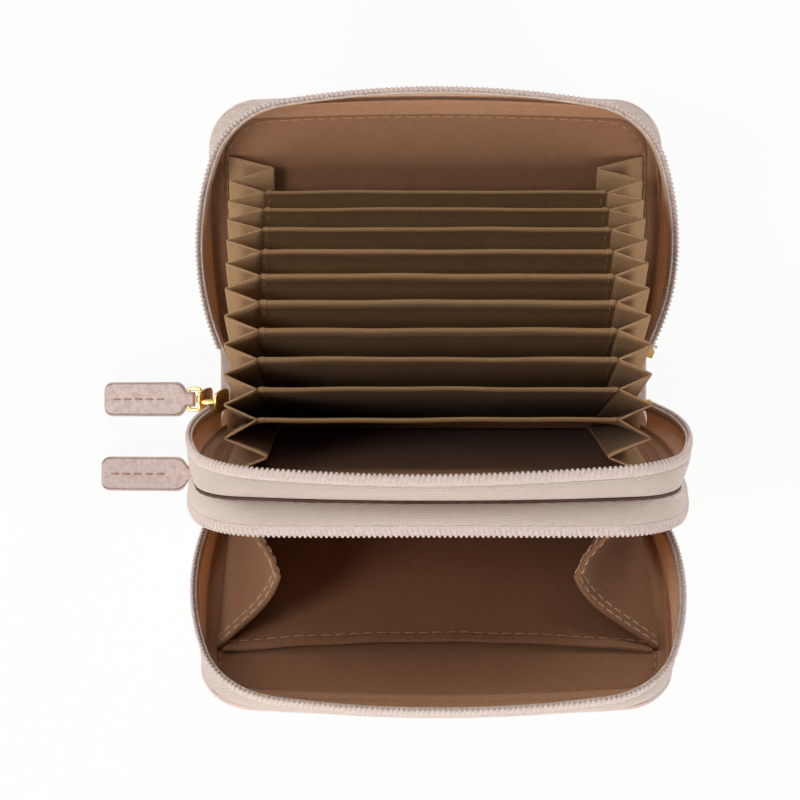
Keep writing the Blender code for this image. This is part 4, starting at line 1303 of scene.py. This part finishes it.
@dataclass
class CoinSpace:
    """What the coin space holds: a folded gusset at each end and a slip pocket."""

    finishes: Finishes
    gusset: float = 0.0006
    seam: float = 0.0555
    crease_tops: tuple[float, float] = (0.0399, 0.0351)
    crease_foot: float = 0.0530
    top: float = 0.054
    foot: float = 0.0045
    pocket_half: float = 0.054
    pocket_top: float = 0.0535
    pocket_foot: float = 0.006
    gape: float = 0.0026
    drop: float = 0.0013
    hem: float = 0.0028
    hem_cloth: float = 0.00025
    bellies: tuple[float, float] = (0.0026, 0.0038)

    def build(self) -> None:
        """Make both gussets and the pocket."""
        for side, crease_top, belly in zip(Side, self.crease_tops, self.bellies):
            self.fold(side, crease_top, belly)
        self.pocket()

    def fold(self, side: Side, crease_top: float, belly: float) -> None:
        """Make a gusset: two leaves about an inward crease, hemmed along the top."""
        heights = np.linspace(self.foot, self.top, 26)
        share = (heights - self.foot) / (self.top - self.foot)
        flat = np.stack((np.full(len(heights), side.value * self.seam), heights), -1)
        wall, cover = (panel.place(flat, panel.face + self.gusset / 2 + 0.0003) for panel in (COIN_WALL, COIN_COVER))
        crease = (wall + cover) / 2
        crease[:, 0] = side.value * (self.crease_foot + (crease_top - self.crease_foot) * share)
        grid = np.transpose(soften([wall, crease, cover], 0.10, 6, 10), (1, 0, 2))
        across = np.linspace(0, 1, grid.shape[1])
        up = share[:, None]
        slack = np.sin(across * 2 * math.pi) ** 2 * up
        swell = np.sin(math.pi * np.clip(across * 2 - 1, 0, 1)) ** 1.4 * up**2
        grid[..., 0] += side.value * (0.0009 * slack * np.sin(heights[:, None] * 95) - belly * swell)
        grid[..., 2] -= 0.0007 * slack * up**2
        name = "coin_gusset_" + side.name.lower()
        draft = Draft(name + "_cloth")
        draft.add_sheet(grid, self.gusset, run_lengths(grid)[..., ::-1])
        self.edge(draft, grid)
        # the hem stitches take the paler, painted-highlight thread
        made = draft.build(self.finishes.lining, self.finishes.hem)
        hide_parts(name)
        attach(made, "root")
        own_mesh(made)

    def edge(self, draft: Draft, grid: Array) -> None:
        """Add a gusset's hem on both of its faces, with two rows of stitches."""
        normal = normals(grid)
        hem = np.array([grid[-1] + (grid[-4] - grid[-1]) * k / 3 for k in (3, 2, 1, 0)])
        for face in (1, -1):
            lifted = hem + normal[-4:] * face * (self.gusset / 2 + 0.00012)
            draft.add_sheet(lifted, self.hem_cloth, run_lengths(lifted)[..., ::-1])
            up = normal[-2] * face
            for down in (0.225, 0.775):
                row = grid[-1] + (grid[-3] - grid[-1]) * down
                draft.add_stitches(row + up * (self.gusset / 2 + 0.00028), up, GUSSET_STITCH, 1)

    def pocket(self) -> None:
        """Make the slip pocket, which bows off the lining at its hemmed mouth."""
        fold = 1 - self.hem / (self.pocket_top - self.pocket_foot)
        up = np.concatenate((np.linspace(0, fold, 26)[:-1], np.linspace(fold, 1, 6)))[:, None]
        across = np.linspace(-1, 1, 61)[None]
        top = self.pocket_top + self.drop * across**2
        height = self.pocket_foot + (top - self.pocket_foot) * up
        bow = self.gape * up**2 * (1 - across**2)
        depth = COVER_FACE + 0.0006 + bow + 0.00016 * np.sin(across * 17) * up**3
        flat = np.stack((across * self.pocket_half + 0 * up, height), -1)
        grid = COIN_COVER.place(flat, depth)
        draft = Draft("slip_pocket_cloth")
        draft.add_sheet(grid, 0.0006, flat)
        normal = normals(grid)
        normal *= np.sign(normal[10, 30].dot(np.array(COIN_COVER.way(1, 0))))
        draft.add_sheet(grid[-5:] + normal[-5:] * 0.00042, self.hem_cloth, flat[-5:])
        draft.add_stitches(grid[-6] + normal[-6] * 0.00035, normal[-6], POCKET_STITCH, 1)
        made = draft.build(self.finishes.lining, self.finishes.thread)
        tie(made, "coin_cover", "lining", "slip_pocket")


def carry(points: Array, stood: Matrix) -> Array:
    """Return points carried by a matrix."""
    turned = np.array(stood)
    return points @ turned[:3, :3].T + turned[:3, 3]


@dataclass
class Slider:
    """A zip slider: two rounded shields on a post, and the loop that holds the ring."""

    name: str
    track: tuple[float, float, float]
    finishes: Finishes
    radius: float = RIM.side_radius
    start: float = math.asin((0.0090 - RIM.side_height) / RIM.side_radius)
    length: float = 0.0092
    nose: float = 0.0024
    belly: float = 0.0030
    tip: float = 0.0009
    plate: float = 0.0008
    channel: float = 0.0039
    stem: tuple[float, float] = (0.00085, 0.0011)
    stem_back: float = 0.0016
    loop: float = 0.0011
    arch: float = 0.00112
    wire: float = 0.00085

    def place(self, points: Array) -> Array:
        """Return where (outward, across, along) points of the slider lie in the open wallet."""
        stood = Matrix.Translation(Vector(self.track)) @ Matrix.Rotation(WALL_LEAN, 4, "X")
        return carry(points * (-1, 1, 1) - (self.radius, 0, 0), stood @ Matrix.Rotation(self.start, 4, "Y"))

    def shield(self) -> Array:
        """Return a shield's outline as (across, along) points."""
        half = self.length / 2
        along = np.linspace(-half, half, 15)
        swell = np.sin(math.pi * np.clip(along / self.length + 0.5, 0, 1)) ** 0.8
        tip = np.clip((half - np.abs(along)) / self.tip, 0, 1)
        wide = (self.nose + (self.belly - self.nose) * swell) * np.sqrt(0.35 + 0.65 * tip * (2 - tip))
        right = np.stack((wide, along), -1)
        return np.concatenate((right, right[::-1] * (-1, 1)))

    def build(self) -> None:
        """Make the slider."""
        draft = Draft(self.name + "_body")
        reach = (self.channel + self.plate) / 2
        for out in (reach, -reach):
            draft.add_slab(self.shield(), self.plate, 0.00026, lambda p, o=out: self.place(p[:, [2, 0, 1]] + (o, 0, 0)))
        across = np.linspace(0, 2 * math.pi, 13)[:-1]
        stem = np.stack((np.cos(across), np.sin(across)), -1) * self.stem
        shift = (0, 0, self.length / 2 - self.stem_back)
        draft.add_slab(stem, self.channel + self.plate, 0.0001, lambda p: self.place(p[:, [2, 0, 1]] + shift))
        outer = self.channel / 2 + self.plate
        centre = np.array((outer + self.loop - 0.0002, 0.0, 0.0))
        turn = np.linspace(-math.pi / 2, math.pi / 2, 15)
        arch = centre + self.arch * np.stack((np.cos(turn), 0 * turn, np.sin(turn)), -1)
        feet = np.array(((outer - 0.0003, 0, -0.0014), (outer + 0.0002, 0, -0.00122)))
        path = np.concatenate((feet, arch, feet[::-1] * (1, 1, -1)))
        radial = self.place(path + unit(path - centre) * 0.001) - self.place(path)
        draft.add_tube(self.place(path), self.wire, 12, flatten=(radial, 0.30))
        tie(draft.build(self.finishes.gold, sharp=50), self.name, "gold_metal", self.name)


@dataclass
class Pull:
    """A leather pull on its ring: two layers sewn along the middle."""

    name: str
    hinge: tuple[float, float, float]
    slope: float
    finishes: Finishes
    ring_length: float = 0.0034
    ring_width: float = 0.0068
    ring_corner: float = 0.0009
    wire: float = 0.0010
    length: float = 0.0240
    width: float = 0.0094
    thick: float = 0.0020
    tongue: float = 0.0040
    shoulder: float = 0.0026
    gap: float = 0.0005
    corner: float = 0.0022
    edge: float = 0.00045
    lap: float = 0.00105

    def __post_init__(self) -> None:
        """Work out where the leather's neck and tip lie."""
        self.neck = -self.ring_length - self.wire / 2 - self.gap
        self.tip = self.neck - self.length

    def place(self, points: Array) -> Array:
        """Return where points of the pull lie in the open wallet."""
        return carry(points, Matrix.Translation(Vector(self.hinge)) @ Matrix.Rotation(-self.slope, 4, "Y"))

    def build(self) -> None:
        """Make the ring and the leather."""
        self.bend_ring()
        self.cut_leather()

    def bend_ring(self) -> None:
        """Make the ring: round wire bent to a rectangle with soft corners."""
        half, long = (self.ring_width - self.wire) / 2, self.ring_length
        corners = np.array(((0, -half, 0), (0, half, 0), (-long, half, 0), (-long, -half, 0)))
        path = []
        for before, here, after in zip(np.roll(corners, 1, 0), corners, np.roll(corners, -1, 0)):
            start = here + unit(before - here) * self.ring_corner
            path += [start, *curve(start, here, here + unit(after - here) * self.ring_corner, 6)]
        draft = Draft(self.name + "_wire_ring")
        draft.add_tube(self.place(np.array(path)), self.wire / 2, 14, loop=True)
        tie(draft.build(self.finishes.gold), self.name, "gold_metal", self.name + "_ring")

    def half_width(self, x: Array) -> Array:
        """Return half the leather's width at a distance from the hinge."""
        tongue, half = self.tongue / 2, self.width / 2
        wide = tongue + (half - tongue) * smooth((self.neck - x) / self.shoulder) ** 0.30
        inside = np.clip(self.tip + self.corner - x, 0, self.corner)
        return wide - (self.corner - np.sqrt(np.maximum(self.corner**2 - inside**2, 0)))

    def cut_leather(self) -> None:
        """Make the leather with rounded edges, its seam line and stitches."""
        turned = self.tip + self.corner
        end = turned - self.corner * np.cos(np.linspace(0, math.pi / 2, 9))
        x = np.concatenate((end, np.linspace(turned, -self.ring_length + self.wire / 2 + self.lap, 34)[1:]))
        half = self.half_width(x)
        across = np.linspace(-1, 1, 15)
        draft = Draft(self.name + "_leather_tab")
        y = np.maximum(half - self.edge, 0.0002)[:, None] * across
        relief = 0.00016 * (1 - across**4) - 0.00022 * np.exp(-((y / 0.0007) ** 2)) - 0.00008
        faces = []
        for side in (1, -1):
            points = np.stack((np.broadcast_to(x[:, None], y.shape), y, side * (self.thick / 2 + relief)), -1)
            points[0, :, 0] += self.edge * 0.8
            faces.append(draft.add_grid(self.place(points), points[..., :2], flip=side > 0))
        loop = border(*y.shape)
        flat = np.stack((np.repeat(x, len(across)), np.outer(half, across).ravel()), -1)[loop]
        strips = [faces[0] + loop]
        for lift in (0.8, 0.55, 0.12, 0.0, -0.12, -0.55, -0.8):
            squeeze = self.edge * (1 - math.sqrt(1 - lift**4)) + (0.00007 if lift == 0 else 0)
            scale = np.clip(1 - squeeze / np.maximum(np.abs(flat[:, 1]), 0.001), 0.2, 1)
            ring = np.stack((flat[:, 0], flat[:, 1] * scale, np.full(len(flat), lift * self.thick / 2)), -1)
            strips.append(draft.add_points(self.place(ring), ring[:, :2]) + np.arange(len(loop)))
        draft.bridge([*strips, faces[1] + loop], 1, flip=True, closed=True)
        self.sew(draft)
        made = draft.build(self.finishes.leather, self.finishes.edge, self.finishes.seam)
        tie(made, self.name, "leather", self.name + "_leather")

    def sew(self, draft: Draft) -> None:
        """Add the row of stitches down the middle of both faces."""
        line = np.linspace(self.neck - 0.0055, self.tip + 0.0022, 30)
        for side in (1.0, -1.0):
            path = np.stack((line, 0 * line, np.full(len(line), side * (self.thick / 2 - 0.00012))), -1)
            up = self.place(np.array((0, 0, side))) - self.place(np.zeros(3))
            draft.add_stitches(self.place(path), up, PULL_STITCH, 2)


@dataclass
class CarriedParts:
    """The solids whose own shape is right, given their real finish."""

    finishes: Finishes

    def dress(self) -> None:
        """Put the gold and the board on them."""
        gold = [panel.name + "_stop" for panel in PANELS]
        boards = ["card_cover_board", "coin_cover_board", "wall_board"]
        for names, finish in ((gold, self.finishes.gold), (boards, self.finishes.board)):
            for name in names:
                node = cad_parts[name]
                node.data.materials.clear()
                node.data.materials.append(finish)
                log.info("%s: carried over", name)


# ---------------------------------------------------------------- studio


class Lamp(NamedTuple):
    """A soft lamp: its name, how far from overhead and which way round it stands, and its power."""

    name: str
    zenith: float
    azimuth: float
    power: float


LAMPS = (
    Lamp("near", 65, 315, 5.1),
    Lamp("key", 65, 225, 4.5),
    Lamp("left", 45, 180, 3.6),
    Lamp("right", 65, 45, 2.8),
    Lamp("rear", 65, 90, 2.4),
    Lamp("rear_left", 65, 135, 1.5),
    Lamp("front", 60, 270, 1.3),
    Lamp("top", 20, 90, 0.5),
)
WHITE = (1, 1, 1, 1)


@dataclass
class Studio:
    """Camera, floor and soft light."""

    centre: tuple[float, float] = (-0.0093, 0.0088)
    height: float = 0.494
    focal: float = 80.1
    floor_half: float = 3.0
    shown: float = 0.92
    ambient: float = 0.01
    lamp_size: float = 0.45
    lit_height: float = 0.03

    def build(self) -> None:
        """Set up everything that isn't the wallet."""
        self.camera()
        self.floor()
        self.surround()
        for lamp in LAMPS:
            self.light(lamp)
        bpy.context.scene.view_settings.view_transform = "Standard"

    def camera(self) -> None:
        """Look straight down, as the photograph does."""
        data = bpy.data.cameras.new("camera")
        data.sensor_width = 36.0
        data.lens = self.focal
        data.clip_start = 0.01
        made = bpy.data.objects.new("camera", data)
        made.location = (*self.centre, self.height)
        bpy.context.scene.collection.objects.link(made)
        bpy.context.scene.camera = made

    def floor(self) -> None:
        """Make the pale floor, which shows white to the camera apart from the shadow."""
        sketch = ShaderSketch("floor_white")
        sketch.set(Base_Color=(0.86, 0.86, 0.86, 1), Roughness=0.9)
        glow = sketch.add("Emission", {"Color": WHITE, "Strength": 1.0})
        share = sketch.maths("MULTIPLY", sketch.add("LightPath").outputs["Is Camera Ray"], self.shown)
        sketch.finish("Material Output", share, sketch.shader, glow)
        draft = Draft("studio_floor")
        across, along = np.meshgrid((-self.floor_half, self.floor_half), (-self.floor_half, self.floor_half))
        draft.add_grid(np.stack((across, along, 0 * along), -1))
        draft.build(sketch.material)

    def surround(self) -> None:
        """Show white behind the wallet and in what it mirrors, with little light of its own."""
        world = bpy.data.worlds.new("surround")
        bpy.context.scene.world = world
        world.use_nodes = True
        sketch = NodeSketch(world.node_tree)
        ambient = world.node_tree.nodes["Background"]
        for key, value in {"Color": WHITE, "Strength": self.ambient}.items():
            sketch.feed(ambient.inputs[key], value)
        white = sketch.add("Background", {"Color": WHITE, "Strength": 1.0})
        camera, glossy, through = (
            sketch.add("LightPath").outputs[f"Is {ray} Ray"] for ray in ("Camera", "Glossy", "Transmission")
        )
        seen = sketch.maths("MAXIMUM", sketch.maths("MAXIMUM", camera, glossy), through)
        sketch.finish("World Output", seen, ambient, white)

    def light(self, lamp: Lamp) -> None:
        """Add a lamp that faces the wallet."""
        tilt, turn = math.radians(lamp.zenith), math.radians(lamp.azimuth)
        away = Vector((math.sin(tilt) * math.cos(turn), math.sin(tilt) * math.sin(turn), math.cos(tilt)))
        data = bpy.data.lights.new(lamp.name, "AREA")
        data.shape = "DISK"
        data.size = self.lamp_size
        data.energy = lamp.power
        made = bpy.data.objects.new(lamp.name, data)
        made.location = away + Vector((0, 0, self.lit_height))
        made.rotation_euler = (-away).to_track_quat("-Z", "Y").to_euler()
        bpy.context.scene.collection.objects.link(made)


def main() -> None:
    """Build the wallet's looks, one sub-assembly after another."""
    logging.basicConfig(level=logging.INFO, format="%(name)s %(message)s")
    finishes = Finishes()
    Studio().build()
    Skin(CARD_COVER, finishes, ("card_cover_leather", "card_fold", "spine_leather")).build()
    Skin(COIN_COVER, finishes, ("coin_cover_leather", "coin_fold")).build()
    for panel in PANELS:
        half = ZipHalf(panel, finishes)
        half.build()
        PanelLining(panel, finishes, half.swell).build()
    WallGapShade(finishes).build()
    SpineLining(finishes).build()
    Accordion(finishes).build()
    CoinSpace(finishes).build()
    Pull("card_pull", (-0.06351, 0.00901, 0.010761), math.radians(17.84), finishes).build()
    Pull("coin_pull", (-0.06351, -0.011523, 0.006359), math.radians(9.16), finishes).build()
    Slider("card_slider", (0.0168, 0.003957205, 0.03433227), finishes).build()
    Slider("coin_slider", (0.0168, -0.016576243, 0.029930281), finishes).build()
    CarriedParts(finishes).dress()


if __name__ == "__main__":
    main()
